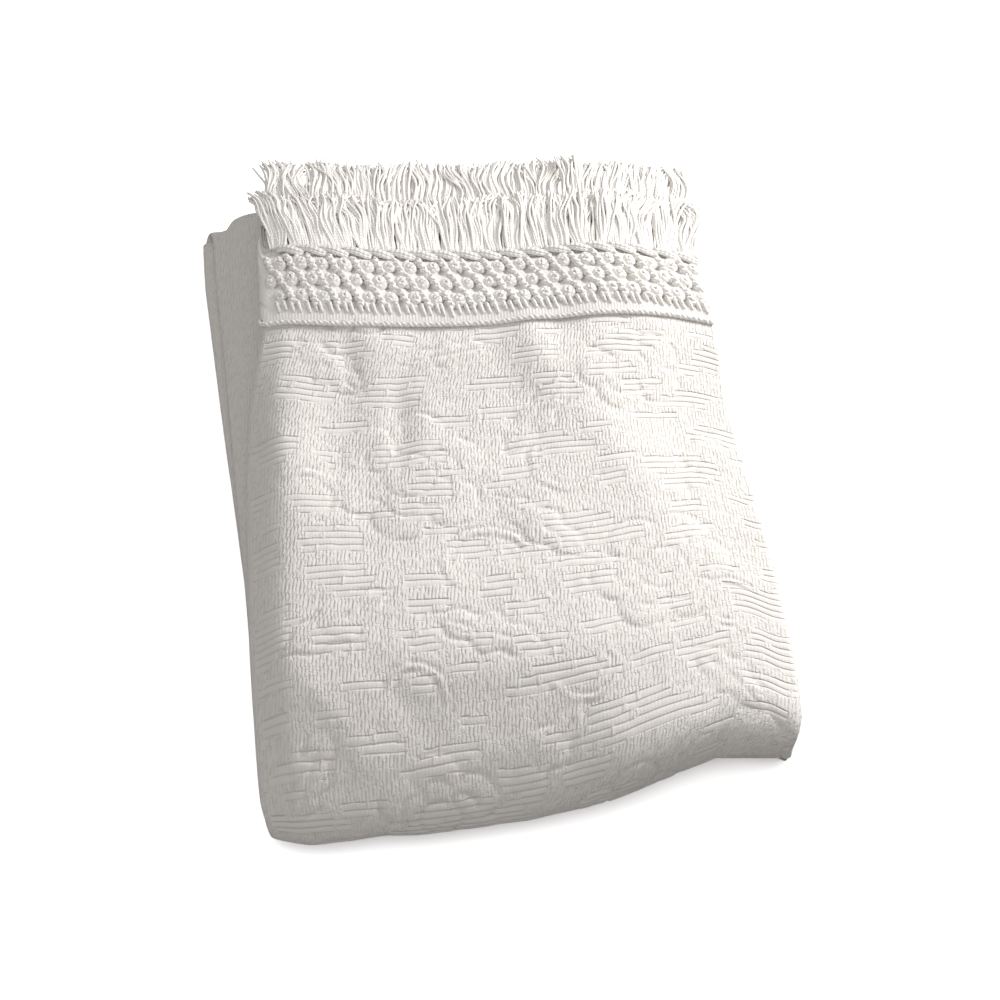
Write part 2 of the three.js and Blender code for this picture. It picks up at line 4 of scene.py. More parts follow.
import bpy
import numpy as np
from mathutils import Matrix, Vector


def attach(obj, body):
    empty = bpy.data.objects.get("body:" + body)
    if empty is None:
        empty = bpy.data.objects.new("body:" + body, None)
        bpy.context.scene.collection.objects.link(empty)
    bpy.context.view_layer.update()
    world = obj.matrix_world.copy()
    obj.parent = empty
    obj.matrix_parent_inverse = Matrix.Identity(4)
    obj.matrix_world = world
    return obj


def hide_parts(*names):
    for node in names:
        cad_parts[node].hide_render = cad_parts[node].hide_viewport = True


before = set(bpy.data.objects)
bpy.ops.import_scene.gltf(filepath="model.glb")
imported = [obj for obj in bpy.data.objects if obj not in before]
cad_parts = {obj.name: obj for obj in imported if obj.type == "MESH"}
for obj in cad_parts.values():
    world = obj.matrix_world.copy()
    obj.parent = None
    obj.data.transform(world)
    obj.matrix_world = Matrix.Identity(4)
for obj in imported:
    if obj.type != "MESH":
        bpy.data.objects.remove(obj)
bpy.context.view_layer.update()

# Sizes below are in millimetres, in the bundle's own axes. SHIFT takes them to the part's frame.
MM = 0.001
SHIFT = np.array([16.85, -44.33, 0.0])

# Cloth and its folds, as in the solids
CLOTH_THICK = 1.4
LAYERS_ACROSS = 6
LAYER_PITCH = 1.75
PLY_THICK = LAYER_PITCH * (LAYERS_ACROSS - 1) + CLOTH_THICK
PASSES = 6
PASS_PITCH = 10.7
BUNDLE_THICK = PASS_PITCH * (PASSES - 1) + PLY_THICK
FOLDED_WIDTH = 332
FOLDED_DEPTH = 480
FRONT_BEND = BUNDLE_THICK / 2
BACK_BEND = (PASS_PITCH * (PASSES - 2) + PLY_THICK) / 2
LEFT_BEND = PLY_THICK / 2
RIGHT_BEND = (LAYER_PITCH * (LAYERS_ACROSS - 2) + CLOTH_THICK) / 2
FREE_EDGE_REACH = 2
INNER_END_SHORT = 46
HEM_AT = 421
HEM_STAGGER = 38
STAGGER_RUN = 120


def table(columns, *rows):
    """Rows of numbers as named columns. The first column is the place that the rest are read at."""
    return dict(zip(columns.split(), np.array(rows, float).T))


# Where the sides of the flap and of the layers under it lie, by the share of the depth
OUTLINE = table(
    "share flap_left flap_right under_left under_right",
    (0.0, -155, 158, -155, 158),
    (0.02, -161, 167, -161, 167),
    (0.05, -165, 172, -165, 171),
    (0.14, -167, 174, -167, 172),
    (0.3, -170, 173, -172, 170),
    (0.48, -171, 167.5, -182, 164.5),
    (0.6, -168, 164, -189, 161),
    (0.67, -162, 164, -193, 159.5),
    (0.73, -157, 164, -196.5, 158.5),
    (0.8, -156, 164, -200.5, 157.5),
    (0.88, -157, 164, -205, 156.3),
    (1.0, -159, 165, -208, 154),
)
# Where the front fold and the back lie, across the bundle
END_LINES = table(
    "across front back flap_back",
    (-210, -233, 291, 275),
    (-203, -233, 289, 275),
    (-196, -233, 285, 274),
    (-189, -233, 281, 273),
    (-182, -233, 287, 273),
    (-172, -233, 286, 272),
    (-160, -233, 283, 271),
    (-100, -232, 268, 260),
    (-23, -230, 256, 252),
    (47, -221, 247, 246),
    (107, -203, 240, 239),
    (135, -195, 236, 235),
    (150, -198, 234, 233),
    (166, -206, 232, 231),
    (174, -207, 231, 230),
    (180, -203, 230, 229),
)
# How thick the stack is towards its sides, and under the flap's back part
FLANKS = table(
    "across stack flap_back",
    (-210, 0.32, 0.9),
    (-190, 0.50, 0.93),
    (-172, 0.72, 0.96),
    (-155, 0.88, 0.98),
    (-140, 0.955, 0.99),
    (-122, 0.985, 0.998),
    (-100, 1.0, 1.0),
    (30, 1.0, 1.0),
    (75, 0.97, 0.985),
    (110, 0.915, 0.955),
    (145, 0.83, 0.905),
    (180, 0.74, 0.84),
)
FLAP_BACK_FROM, FLAP_BACK_TO = 0.52, 0.76
# The stack bulges a little behind the front fold and thins out towards it
ENDS = table(
    "share thickness",
    (0.0, 0.58),
    (0.04, 0.66),
    (0.08, 0.79),
    (0.13, 0.93),
    (0.17, 1.015),
    (0.22, 1.055),
    (0.28, 1.04),
    (0.36, 1.01),
    (0.46, 1.0),
    (1.0, 1.0),
)
# At the right the front fold stays full and round instead
ROUNDED = table(
    "across share fuller",
    (-210, 0.0, 1.0),
    (-30, 0.0, 1.0),
    (20, 0.2, 1.03),
    (60, 0.55, 1.08),
    (100, 0.8, 1.12),
    (140, 0.92, 1.15),
    (180, 0.95, 1.15),
)
BEND_SHARE = 0.07

# How the top flap stands off what it lies on
FLAP_REST = 1.6
FLAP_RISE_FROM, FLAP_RISE_TO = 0.02, 0.16
HEM_LIFT = 4.4
HEM_LIFT_FROM, HEM_LIFT_TO = 0.55, 0.76
SWELLS = table(
    "across share reach_across reach_share height",
    (92, 0.86, 44, 0.3, 8),
    (-112, 0.86, 46, 0.26, 5),
    (-70, 0.34, 60, 0.16, 4),
    (40, 0.42, 70, 0.2, 3),
)
# Soft creases of the flap: middle, half length and half width, turn from the across direction, height
CREASES = table(
    "across depth length width turn height",
    (-99, 250, 80, 27, 102, -6.2),
    (-97, 322, 26, 10, 90, -2.7),
    (-64, 268, 34, 10, 88, -3.1),
    (34, 325, 40, 16, 95, 3.3),
    (70, 262, 75, 24, 113, 3.0),
    (-138, 240, 90, 16, 91, 1.8),
    (-112, 52, 46, 11, -56, 2.0),
    (-70, 60, 40, 9, -50, -0.9),
    (24, 196, 40, 16, 60, 0.9),
    (118, 150, 50, 16, 115, 1.0),
    (70, 330, 46, 14, 80, 0.9),
)
# The flap's folded edge rolls over: how far in, and how much thinner the ply is there
EDGE_ROLL = 30
EDGE_THINNER = 0.5
EDGE_THINNER_BACK = 0.2
# The second ply lies a little further in than the ones under it
PLY_INSET = 9
INSET_FROM, INSET_TO = 0.25, 0.9


def mix(a, b, share):
    return a + (b - a) * share


def smooth(low, high, at):
    share = np.clip((at - low) / (high - low), 0, 1)
    return share * share * (3 - 2 * share)


def read(rows, column, at):
    """A column of a table at places between its rows, on a smooth line through them."""
    keys = next(iter(rows.values()))
    values = rows[column]
    gaps = np.diff(keys)
    slopes = np.diff(values) / gaps
    total = slopes[1:] + slopes[:-1]
    product = slopes[1:] * slopes[:-1]
    inner = np.where(product > 0, 2 * product / np.where(total == 0, 1, total), 0)
    tangents = np.concatenate([slopes[:1], inner, slopes[-1:]])
    at = np.clip(at, keys[0], keys[-1])
    row = np.clip(np.searchsorted(keys, at, side="right") - 1, 0, len(gaps) - 1)
    gap = gaps[row]
    t = (at - keys[row]) / gap
    start = values[row] * (1 + 2 * t) * (1 - t) ** 2 + values[row + 1] * t * t * (3 - 2 * t)
    return start + gap * (tangents[row] * t * (1 - t) ** 2 - tangents[row + 1] * t * t * (1 - t))


def fold_path(runs, pitch, near, far, start, end, spacing, bend_steps):
    """A flat spiral of straight runs with half-round bends, with its outward normals."""

    def level(run):
        return (runs - 1 - run if run % 2 == 0 else run - runs) / 2 * pitch

    rows = []
    for run in range(runs):
        out = 1 if run % 2 == 0 else -1
        first = start if run == 0 else (far if out > 0 else near)
        last = end if run == runs - 1 else (near if out > 0 else far)
        count = max(1, round(abs(first - last) / spacing(run)))
        for at in np.linspace(first, last, count + 1):
            rows.append((run, 0, at, level(run), 0, out))
        if run < runs - 1:
            centre = (level(run) + level(run + 1)) / 2
            radius = abs(level(run) - level(run + 1)) / 2
            steps = bend_steps(run)
            for step in range(1, steps):
                angle = math.pi * step / steps
                side, rise = -out * math.sin(angle), out * math.cos(angle)
                at, height = last + radius * side, centre + radius * rise
                rows.append((run, step / steps, at, height, side, rise))
    names = ("run", "turn", "at", "level", "normal_at", "normal_level")
    return SimpleNamespace(**dict(zip(names, np.array(rows, float).T)))


def path_length(path, offset):
    """Length along a folded path so far, on the side that lies at an offset from it."""
    at = path.at + path.normal_at * offset
    level = path.level + path.normal_level * offset
    return np.concatenate([[0], np.cumsum(np.hypot(np.diff(at), np.diff(level)))])


def taken(path, index):
    return SimpleNamespace(**{name: values[index] for name, values in vars(path).items()})


def flap_lift(x, share):
    """How far the flap stands off the stack."""
    depth = share * FOLDED_DEPTH
    lift = FLAP_REST + HEM_LIFT * smooth(HEM_LIFT_FROM, HEM_LIFT_TO, share)
    for across, at, reach_across, reach_share, height in zip(*SWELLS.values()):
        away = ((x - across) / reach_across) ** 2
        lift = lift + height * np.exp(-away - ((share - at) / reach_share) ** 2)
    for across, at, length, width, turn, height in zip(*CREASES.values()):
        angle = math.radians(turn)
        along = (x - across) * math.cos(angle) + (depth - at) * math.sin(angle)
        side = (depth - at) * math.cos(angle) - (x - across) * math.sin(angle)
        lift = lift + height * np.exp(-((along / length) ** 2) - (side / width) ** 2)
    return lift * smooth(FLAP_RISE_FROM, FLAP_RISE_TO, share)


def settle(across, depth, height, under, inset):
    """Puts points of the ideal bundle (across, depth from the front, height) into the uneven bundle."""
    share = depth / FOLDED_DEPTH
    left = mix(read(OUTLINE, "flap_left", share), read(OUTLINE, "under_left", share), under)
    right = mix(read(OUTLINE, "flap_right", share), read(OUTLINE, "under_right", share), under)
    left = left + inset * smooth(INSET_FROM, INSET_TO, share)
    x = mix(left, right, across / FOLDED_WIDTH + 0.5)
    at_back = (1 - under) * smooth(FLAP_BACK_FROM, FLAP_BACK_TO, share)
    back = mix(read(END_LINES, "back", x), read(END_LINES, "flap_back", x), at_back)
    in_bend = np.clip(share / BEND_SHARE, 0, 1)
    fuller = BEND_SHARE * (in_bend ** read(ROUNDED, "fuller", x) - in_bend)
    y = mix(read(END_LINES, "front", x), back, share + fuller)
    flank = mix(read(FLANKS, "stack", x), read(FLANKS, "flap_back", x), at_back)
    thickness = flank * mix(read(ENDS, "thickness", share), 1, read(ROUNDED, "share", x))
    z = height * thickness + (1 - under) * flap_lift(x, share)
    return np.stack(np.broadcast_arrays(x, y, z), -1)


def sheet_point(ply, line, lift):
    """Points on the sheet's outer side: places on the ply's section and on the passes, and a height."""
    reach = CLOTH_THICK / 2 + lift
    across = ply.at + ply.normal_at * reach
    in_ply = ply.level + ply.normal_level * reach
    roll = 1 - smooth(0, EDGE_ROLL, across + FOLDED_WIDTH / 2)
    top = line.run == 0
    at_back = smooth(FLAP_BACK_FROM, FLAP_BACK_TO, line.at / FOLDED_DEPTH)
    thinner = mix(EDGE_THINNER, EDGE_THINNER_BACK, np.where(top, at_back, 0))
    in_ply = (in_ply + PLY_THICK / 2) * (1 - thinner * roll**2) - PLY_THICK / 2
    under = np.where(top, line.turn, 1)
    from_hem = HEM_AT - line.at
    at_hem = np.where(top & (line.turn == 0), 1 - smooth(0, STAGGER_RUN, from_hem), 0)
    stagger = HEM_STAGGER * at_hem * (0.5 - ply.level / (PLY_THICK - CLOTH_THICK))
    depth = line.at + line.normal_at * in_ply + stagger
    height = line.level + line.normal_level * in_ply + BUNDLE_THICK / 2
    into_second = np.where(line.run == 1, smooth(0, 1, line.turn), 0)
    second = np.where(line.run == 2, 1 - line.turn, into_second)
    return settle(across, depth, height, under, PLY_INSET * second)


# The woven relief of the sheet's face: flower heads, leaves and stems in a ground of crosswise ridges
RIDGE_PITCH = 5.0
STEP_ACROSS = 2.6
RIDGE_HEIGHT = 0.45
RIDGE_SINK = 0.6
RIDGE_FLATNESS = 2.2
RIDGE_ROWS, RIDGE_STEPS = 110, 132
# Blocks of ridges: their rows, their steps, how far their ends move by the row, and their gaps
BLOCK_TRIES = 900
BLOCK_ROWS = [1, 2, 2, 3, 3, 4, 5, 6]
BLOCK_STEPS = (5, 12)
BLOCK_MARGIN = 2
END_MOVE = 2
GAP_REACH = 24
PUFF_HEIGHT = 0.85
PUFF_RUN = 4.5
SEAM_DEPTH = 1.0
SEAM_WIDTH = 1.1
SEAM_WORN_FROM, SEAM_WORN_TO = 0.2, 0.5
# Patches of unevenness: their size across and along, and where each begins in the noise
WEFT_WANDER, WANDER_ROWS = (38, 30, 0, 40), 0.7
WEFT_SHAKE, SHAKE_ROWS = (7, 6, 0, 60), 0.18
SEAM_WEAR = (9, 9, 3, 17)
FINE_LUMPS, FINE_LUMP_HEIGHT = (7, 9, 0, 11), 0.4
BROAD_LUMPS, BROAD_LUMP_HEIGHT = (24, 28, 5, 0), 1.3
# Further away than any motif reaches
FAR = 60.0
# A flower head in shares of its radius: the ring, the splits between petals, the scallop and the tips
RING_AT = 0.34
SPLIT_FROM = 0.36
SCALLOP_AT, SCALLOP_LOBE = 0.5, 0.14
TIP_AT, TIP_LOBE, LOBE_ROUNDNESS = 0.76, 0.24, 0.7
# A leaf: the waves of its edge, the reach of its rib, and its veins
LEAF_WAVE, LEAF_WAVES = 0.2, 3.5
RIB_REACH = 0.86
VEIN_PITCH, VEIN_SLANT, VEIN_FAINTNESS = 10, 0.9, 0.8
PAST_TIP = 0.05
# A stem winds in by this share of its radius
STEM_WINDING = 0.5
FLOWERS = table(
    "across along radius petals turn",
    (-58, 226, 52, 6, 0.3),
    (92, 132, 46, 6, 0.0),
    (98, 304, 38, 5, 0.6),
    (-96, 372, 30, 5, 0.2),
    (-60, -4, 40, 6, 0.5),
    (60, -30, 36, 5, 0.1),
)
LEAVES = table(
    "across along length width turn",
    (30, 268, 78, 26, 0.9),
    (22, 178, 80, 26, -0.8),
    (-110, 118, 84, 28, 0.5),
    (-20, 104, 76, 26, -0.4),
    (-112, 316, 70, 24, -0.7),
    (-30, 326, 70, 22, 0.2),
    (134, 220, 70, 22, 1.2),
    (10, 30, 66, 24, 0.7),
    (124, 40, 70, 24, -0.9),
    (-134, 30, 60, 22, 1.1),
)
STEMS = table(
    "across along radius width start sweep",
    (-20, 150, 34, 7, 0.4, 3.6),
    (50, 226, 30, 7, 2.4, 3.4),
    (-128, 214, 28, 7, -1.2, 3.2),
    (132, 92, 24, 6, 1.0, 3.6),
    (40, 74, 26, 6, 3.4, 3.4),
    (-72, 68, 24, 6, -0.4, 3.3),
)
LATTICE = np.random.default_rng(11).random((97, 89))


def soft_noise(x, y):
    """Smooth noise from none to one, with one value for each unit square."""
    i, j = np.floor(x).astype(int), np.floor(y).astype(int)
    u, v = smooth(0, 1, x - i), smooth(0, 1, y - j)

    def corner(a, b):
        return LATTICE[(i + a) % LATTICE.shape[0], (j + b) % LATTICE.shape[1]]

    return mix(mix(corner(0, 0), corner(1, 0), u), mix(corner(0, 1), corner(1, 1), u), v)


def patches(x, along, across_size, along_size, across_start, along_start):
    return soft_noise(x / across_size + across_start, along / along_size + along_start)


def motif_fields(x, along):
    """How far inside a motif each place lies, in millimetres, and the seams drawn inside it."""
    inside = np.full(np.broadcast(x, along).shape, -FAR)
    seam = np.zeros_like(inside)

    def add(edge, *lines):
        nonlocal inside, seam
        inside = np.maximum(inside, edge)
        for distance in (np.abs(edge), *lines):
            line = np.exp(-((distance / SEAM_WIDTH) ** 2))
            seam = np.maximum(seam, np.where(edge > -2 * SEAM_WIDTH, line, 0))

    for across, middle, radius, petals, turn in zip(*FLOWERS.values()):
        dx, dy = x - across, along - middle
        out = np.hypot(dx, dy) / radius
        petal = ((np.arctan2(dy, dx) - turn) * petals / (2 * np.pi)) % 1
        lobe = np.abs(np.cos(np.pi * petal))
        split = np.abs(petal - 0.5) * 2 * np.pi / petals * out * radius
        split = np.where(out > SPLIT_FROM, split, FAR)
        ring = np.abs(out - RING_AT) * radius
        scallop = np.abs(out - SCALLOP_AT - SCALLOP_LOBE * lobe) * radius
        add((TIP_AT + TIP_LOBE * lobe**LOBE_ROUNDNESS - out) * radius, split, ring, scallop)
    for across, middle, length, width, turn in zip(*LEAVES.values()):
        dx, dy = x - across, along - middle
        on = dx * math.cos(turn) + dy * math.sin(turn)
        side = np.abs(dy * math.cos(turn) - dx * math.sin(turn))
        t = on / (length / 2)
        half = width / 2 * (1 - t * t) * (1 + LEAF_WAVE * np.cos(LEAF_WAVES * np.pi * t))
        rib = np.where(np.abs(t) < RIB_REACH, side, FAR)
        vein = np.abs((on - VEIN_SLANT * side) % VEIN_PITCH - VEIN_PITCH / 2)
        past = -FAR * np.maximum(np.abs(t) - 1, PAST_TIP)
        add(np.where(np.abs(t) < 1, half - side, past), rib, vein + VEIN_FAINTNESS)
    for across, middle, radius, width, start, sweep in zip(*STEMS.values()):
        dx, dy = x - across, along - middle
        angle = (np.arctan2(dy, dx) - start) % (2 * np.pi)
        winding = radius * (1 - STEM_WINDING * angle / sweep)
        edge = width / 2 - np.abs(np.hypot(dx, dy) - winding)
        add(np.where(angle < sweep, edge, -FAR))
    return inside, seam


def ridge_blocks():
    """Which steps of each crosswise row are ridges: blocks of a few rows, with stepped ends."""
    random = np.random.default_rng(23)
    ridges = np.zeros((RIDGE_ROWS, RIDGE_STEPS), bool)
    for _ in range(BLOCK_TRIES):
        row, left = random.integers(0, RIDGE_ROWS), random.integers(-6, RIDGE_STEPS - 4)
        rows = random.choice(BLOCK_ROWS)
        right = left + random.integers(*BLOCK_STEPS) + 2 * min(rows, 4) - 2
        drift_left, drift_right = random.integers(-END_MOVE, END_MOVE + 1, 2)
        near = ridges[max(row - 1, 0):row + rows + 1, max(left - BLOCK_MARGIN, 0):right + BLOCK_MARGIN]
        if near.any():
            continue
        for line in range(row, min(row + rows, RIDGE_ROWS)):
            ridges[line, max(left, 0):max(right, 0)] = True
            gap = left + random.integers(0, GAP_REACH)
            ridges[line, max(gap, 0):max(gap + 1, 0)] = False
            left += drift_left + random.integers(-END_MOVE, END_MOVE + 1)
            right += drift_right + random.integers(-END_MOVE, END_MOVE + 1)
    return ridges


RIDGES = ridge_blocks()


def weave_relief(x, from_hem):
    """Height of the woven relief, where it is ridges, the count of ridges so far, and the seams."""
    inside, seam = motif_fields(x, HEM_AT - from_hem)
    wander = WANDER_ROWS * patches(x, from_hem, *WEFT_WANDER)
    wander = wander + SHAKE_ROWS * patches(x, from_hem, *WEFT_SHAKE)
    weft = from_hem / RIDGE_PITCH + wander
    row = np.floor(weft)
    step = np.floor((x + FOLDED_WIDTH / 2) / STEP_ACROSS)
    ground = RIDGES[
        np.clip(row, 0, RIDGE_ROWS - 1).astype(int),
        np.clip(step, 0, RIDGE_STEPS - 1).astype(int),
    ]
    ridge = 1 - np.abs(2 * (weft - row) - 1) ** RIDGE_FLATNESS
    relief = ground * RIDGE_HEIGHT * (ridge - RIDGE_SINK)
    seam = seam * smooth(SEAM_WORN_FROM, SEAM_WORN_TO, patches(x, from_hem, *SEAM_WEAR))
    puff = 1 - np.exp(-np.maximum(inside, 0) / PUFF_RUN)
    relief = relief + PUFF_HEIGHT * puff - SEAM_DEPTH * seam
    relief = relief + FINE_LUMP_HEIGHT * (patches(x, from_hem, *FINE_LUMPS) - 0.5)
    relief = relief + BROAD_LUMP_HEIGHT * (patches(x, from_hem, *BROAD_LUMPS) - 0.5)
    return relief, ground.astype(float), weft, seam


def new_mesh(name, points, faces):
    """A mesh object from arrays: points in millimetres, and faces of three or four corners."""
    mesh = bpy.data.meshes.new(name)
    points = (np.asarray(points) + SHIFT) * MM
    mesh.vertices.add(len(points))
    mesh.vertices.foreach_set("co", points.astype(np.float32).ravel())
    sizes = np.concatenate([np.full(len(block), block.shape[1]) for block in faces])
    corners = np.concatenate([block.ravel() for block in faces])
    mesh.loops.add(len(corners))
    mesh.loops.foreach_set("vertex_index", corners.astype(np.int32))
    mesh.polygons.add(len(sizes))
    starts = np.concatenate([[0], np.cumsum(sizes)[:-1]])
    mesh.polygons.foreach_set("loop_start", starts.astype(np.int32))
    mesh.polygons.foreach_set("use_smooth", np.full(len(sizes), True))
    mesh.update(calc_edges=True)
    mesh.validate()
    piece = bpy.data.objects.new(name, mesh)
    bpy.context.scene.collection.objects.link(piece)
    return piece


def add_uv(piece, across, along):
    """Lays each point's place on the cloth, in metres, into a UV map."""
    mesh = piece.data
    corner = np.zeros(len(mesh.loops), np.int32)
    mesh.loops.foreach_get("vertex_index", corner)
    places = np.stack([across, along], -1) * MM
    layer = mesh.uv_layers.new(name="cloth")
    layer.data.foreach_set("uv", places[corner].astype(np.float32).ravel())


def add_value(piece, name, values):
    attribute = piece.data.attributes.new(name, "FLOAT", "POINT")
    attribute.data.foreach_set("value", np.asarray(values, np.float32))


# The spread: one sheet on the folds of its solid, finer where its face shows
FINE_ACROSS, HIDDEN_ACROSS = 2.15, 46
FINE_ALONG, HIDDEN_ALONG = 1.17, 34
LEFT_FOLD_STEPS, HIDDEN_PLY_STEPS = 12, 5
FRONT_FOLD_STEPS, HIDDEN_PASS_STEPS = 84, 10
HIDDEN_ROWS = 46
# The relief fades out at the flap's left edge, and in the last part of the front fold
RELIEF_FADE = 9
RELIEF_END = 0.75
ply_path = fold_path(
    LAYERS_ACROSS, LAYER_PITCH, -FOLDED_WIDTH / 2 + LEFT_BEND, FOLDED_WIDTH / 2 - RIGHT_BEND,
    FOLDED_WIDTH / 2 - RIGHT_BEND + FREE_EDGE_REACH, FOLDED_WIDTH / 2 - RIGHT_BEND,
    lambda run: FINE_ACROSS if run == 0 else HIDDEN_ACROSS,
    lambda run: LEFT_FOLD_STEPS if run == 0 else HIDDEN_PLY_STEPS,
)
pass_path = fold_path(
    PASSES, PASS_PITCH, FRONT_BEND, FOLDED_DEPTH - BACK_BEND, HEM_AT, FOLDED_DEPTH - INNER_END_SHORT,
    lambda run: FINE_ALONG if run == 0 else HIDDEN_ALONG,
    lambda run: FRONT_FOLD_STEPS if run == 0 else HIDDEN_PASS_STEPS,
)
ply_length = path_length(ply_path, CLOTH_THICK / 2)
pass_length = path_length(pass_path, PLY_THICK / 2)


def quads(number):
    a, b = number[:-1, :-1], number[:-1, 1:]
    c, d = number[1:, 1:], number[1:, :-1]
    return np.stack([a, b, c, d], -1).reshape(-1, 4)


def make_spread():
    # The free side and the hem are turned in by one cloth thickness, so that their edges show it
    columns = np.concatenate([[0], np.arange(len(ply_path.at))])
    rows = np.concatenate([[0], np.arange(len(pass_path.at))])
    ply = taken(ply_path, columns[None, :])
    line = taken(pass_path, rows[:, None])
    x = np.broadcast_to(ply.at, (len(rows), len(columns)))
    from_hem = np.broadcast_to(pass_length[rows][:, None], x.shape)
    relief, ground, weft, seam = weave_relief(x, from_hem)
    after_fold = (line.run == 1) & (line.turn == 0) & (line.at < FRONT_BEND + 1)
    fine = ((line.run == 0) | after_fold) & (ply.run == 0) & (ply.turn == 0)
    left_edge = -FOLDED_WIDTH / 2
    fade = np.where(fine, smooth(left_edge - 1, left_edge + RELIEF_FADE, x), 0)
    fade = fade * np.where(line.run == 0, 1 - smooth(RELIEF_END, 1, line.turn), 0)
    relief = relief * fade
    ground = np.where(fine, ground, 0.0)
    turned_in = np.zeros(x.shape, bool)
    turned_in[0, :] = True
    turned_in[:, 0] = True
    points = sheet_point(ply, line, np.where(turned_in, -CLOTH_THICK, relief))

    # The hidden layers beside the fine ones keep only some of the rows, and fans join the two
    fine_end = int(np.searchsorted(ply_path.run, 1)) + 2
    last_fine_row = int(np.searchsorted(pass_path.run, 1)) + 1
    kept_rows = np.zeros(len(rows), bool)
    kept_rows[[0, 1]] = True
    kept_rows[np.linspace(1, last_fine_row, HIDDEN_ROWS).astype(int)] = True
    kept_rows[last_fine_row:] = True
    used = np.ones(x.shape, bool)
    used[:, fine_end + 1:] = kept_rows[:, None]
    number = np.full(x.shape, -1)
    number[used] = np.arange(used.sum())

    fine_part = number[:last_fine_row + 1, :fine_end + 1]
    blocks = [quads(fine_part), quads(number[last_fine_row:, :])]
    coarse = np.flatnonzero(kept_rows[:last_fine_row + 1])
    blocks.append(quads(number[coarse][:, fine_end + 1:]))
    fans = []
    for low, high in zip(coarse[:-1], coarse[1:]):
        hub = number[low, fine_end + 1]
        for row in range(low, high):
            fans.append((number[row, fine_end], hub, number[row + 1, fine_end]))
        fans.append((hub, number[high, fine_end + 1], number[high, fine_end]))
    blocks.append(np.array(fans))
    piece = new_mesh("spread_sheet", points[used], blocks)
    across = np.broadcast_to(ply_length[columns][None, :], x.shape)
    add_uv(piece, across[used], from_hem[used])
    add_value(piece, "ground", ground[used])
    add_value(piece, "weft", weft[used])
    # The woven material reads this seam value to paint shade into the seams
    add_value(piece, "seam", (seam * fade)[used])
    return piece


# Trim: places on the sheet by distance from its free edge, distance from the hem, and height
def trim_point(along, from_hem, lift):
    along, from_hem, lift = np.broadcast_arrays(along, from_hem, lift)
    ply = SimpleNamespace(
        at=np.interp(along, ply_length, ply_path.at),
        level=np.interp(along, ply_length, ply_path.level),
        normal_at=np.interp(along, ply_length, ply_path.normal_at),
        normal_level=np.interp(along, ply_length, ply_path.normal_level),
    )
    still = np.zeros(along.shape)
    line = SimpleNamespace(
        run=still, turn=still, at=HEM_AT - from_hem, level=still + pass_path.level[0],
        normal_at=still, normal_level=still + 1,
    )
    return sheet_point(ply, line, lift)


TOP_RUN = float(ply_length[np.argmax(ply_path.turn > 0) - 1])
UNDER_START = float(ply_length[np.searchsorted(ply_path.run, 1)])
UNDER_RUN = TOP_RUN - FREE_EDGE_REACH
TRIM_END = UNDER_START + UNDER_RUN
UP = np.array([0.0, 0.0, 1.0])
# A tube nearer to upright than this takes its sides from another axis
UPRIGHT = 0.05
TINY = 1e-9


def unit(vectors):
    return vectors / (np.linalg.norm(vectors, axis=1, keepdims=True) + TINY)


def run_length(path):
    return np.concatenate([[0], np.cumsum(np.linalg.norm(np.diff(path, axis=0), axis=1))])


class Bundle:
    """Gathers many tubes and grids into one mesh."""

    def __init__(self):
        self.points, self.faces, self.places, self.count = [], [], [], 0

    def tube(self, middle, radius, sides):
        steps = len(middle)
        radius = np.broadcast_to(radius, steps)
        tangent = unit(np.gradient(middle, axis=0))
        side = np.cross(tangent, UP)
        weak = np.linalg.norm(side, axis=1) < UPRIGHT
        side[weak] = np.cross(tangent[weak], np.array([1.0, 0.0, 0.0]))
        side /= np.linalg.norm(side, axis=1, keepdims=True)
        over = np.cross(side, tangent)
        angle = 2 * np.pi * np.arange(sides) / sides
        ring = side[:, None] * np.cos(angle)[None, :, None]
        ring = ring + over[:, None] * np.sin(angle)[None, :, None]
        self.points.append((middle[:, None] + ring * radius[:, None, None]).reshape(-1, 3))
        turn = np.broadcast_to(np.arange(sides) / sides, (steps, sides))
        length = np.broadcast_to(run_length(middle)[:, None], turn.shape)
        self.places.append(np.stack([turn, length], -1).reshape(-1, 2))
        number = self.count + np.arange(steps * sides).reshape(steps, sides)
        closed = np.concatenate([number, number[:, :1]], 1)
        self.faces.append(quads(closed)[:, ::-1])
        for row, flip in ((number[0], 1), (number[-1], -1)):
            corner = row[::flip]
            for k in range(1, sides - 1):
                self.faces.append(np.array([[corner[0], corner[k], corner[k + 1]]]))
        self.count += steps * sides

    def grid(self, points):
        rows, columns = points.shape[:2]
        number = self.count + np.arange(rows * columns).reshape(rows, columns)
        self.points.append(points.reshape(-1, 3))
        self.places.append(np.zeros((number.size, 2)))
        self.faces.append(quads(number)[:, ::-1])
        self.count += number.size

    def piece(self, name):
        blocks = [np.concatenate([f for f in self.faces if f.shape[1] == corners]) for corners in (3, 4)]
        made = new_mesh(name, np.concatenate(self.points), blocks)
        places = np.concatenate(self.places)
        add_uv(made, places[:, 0] / MM, places[:, 1])
        return made


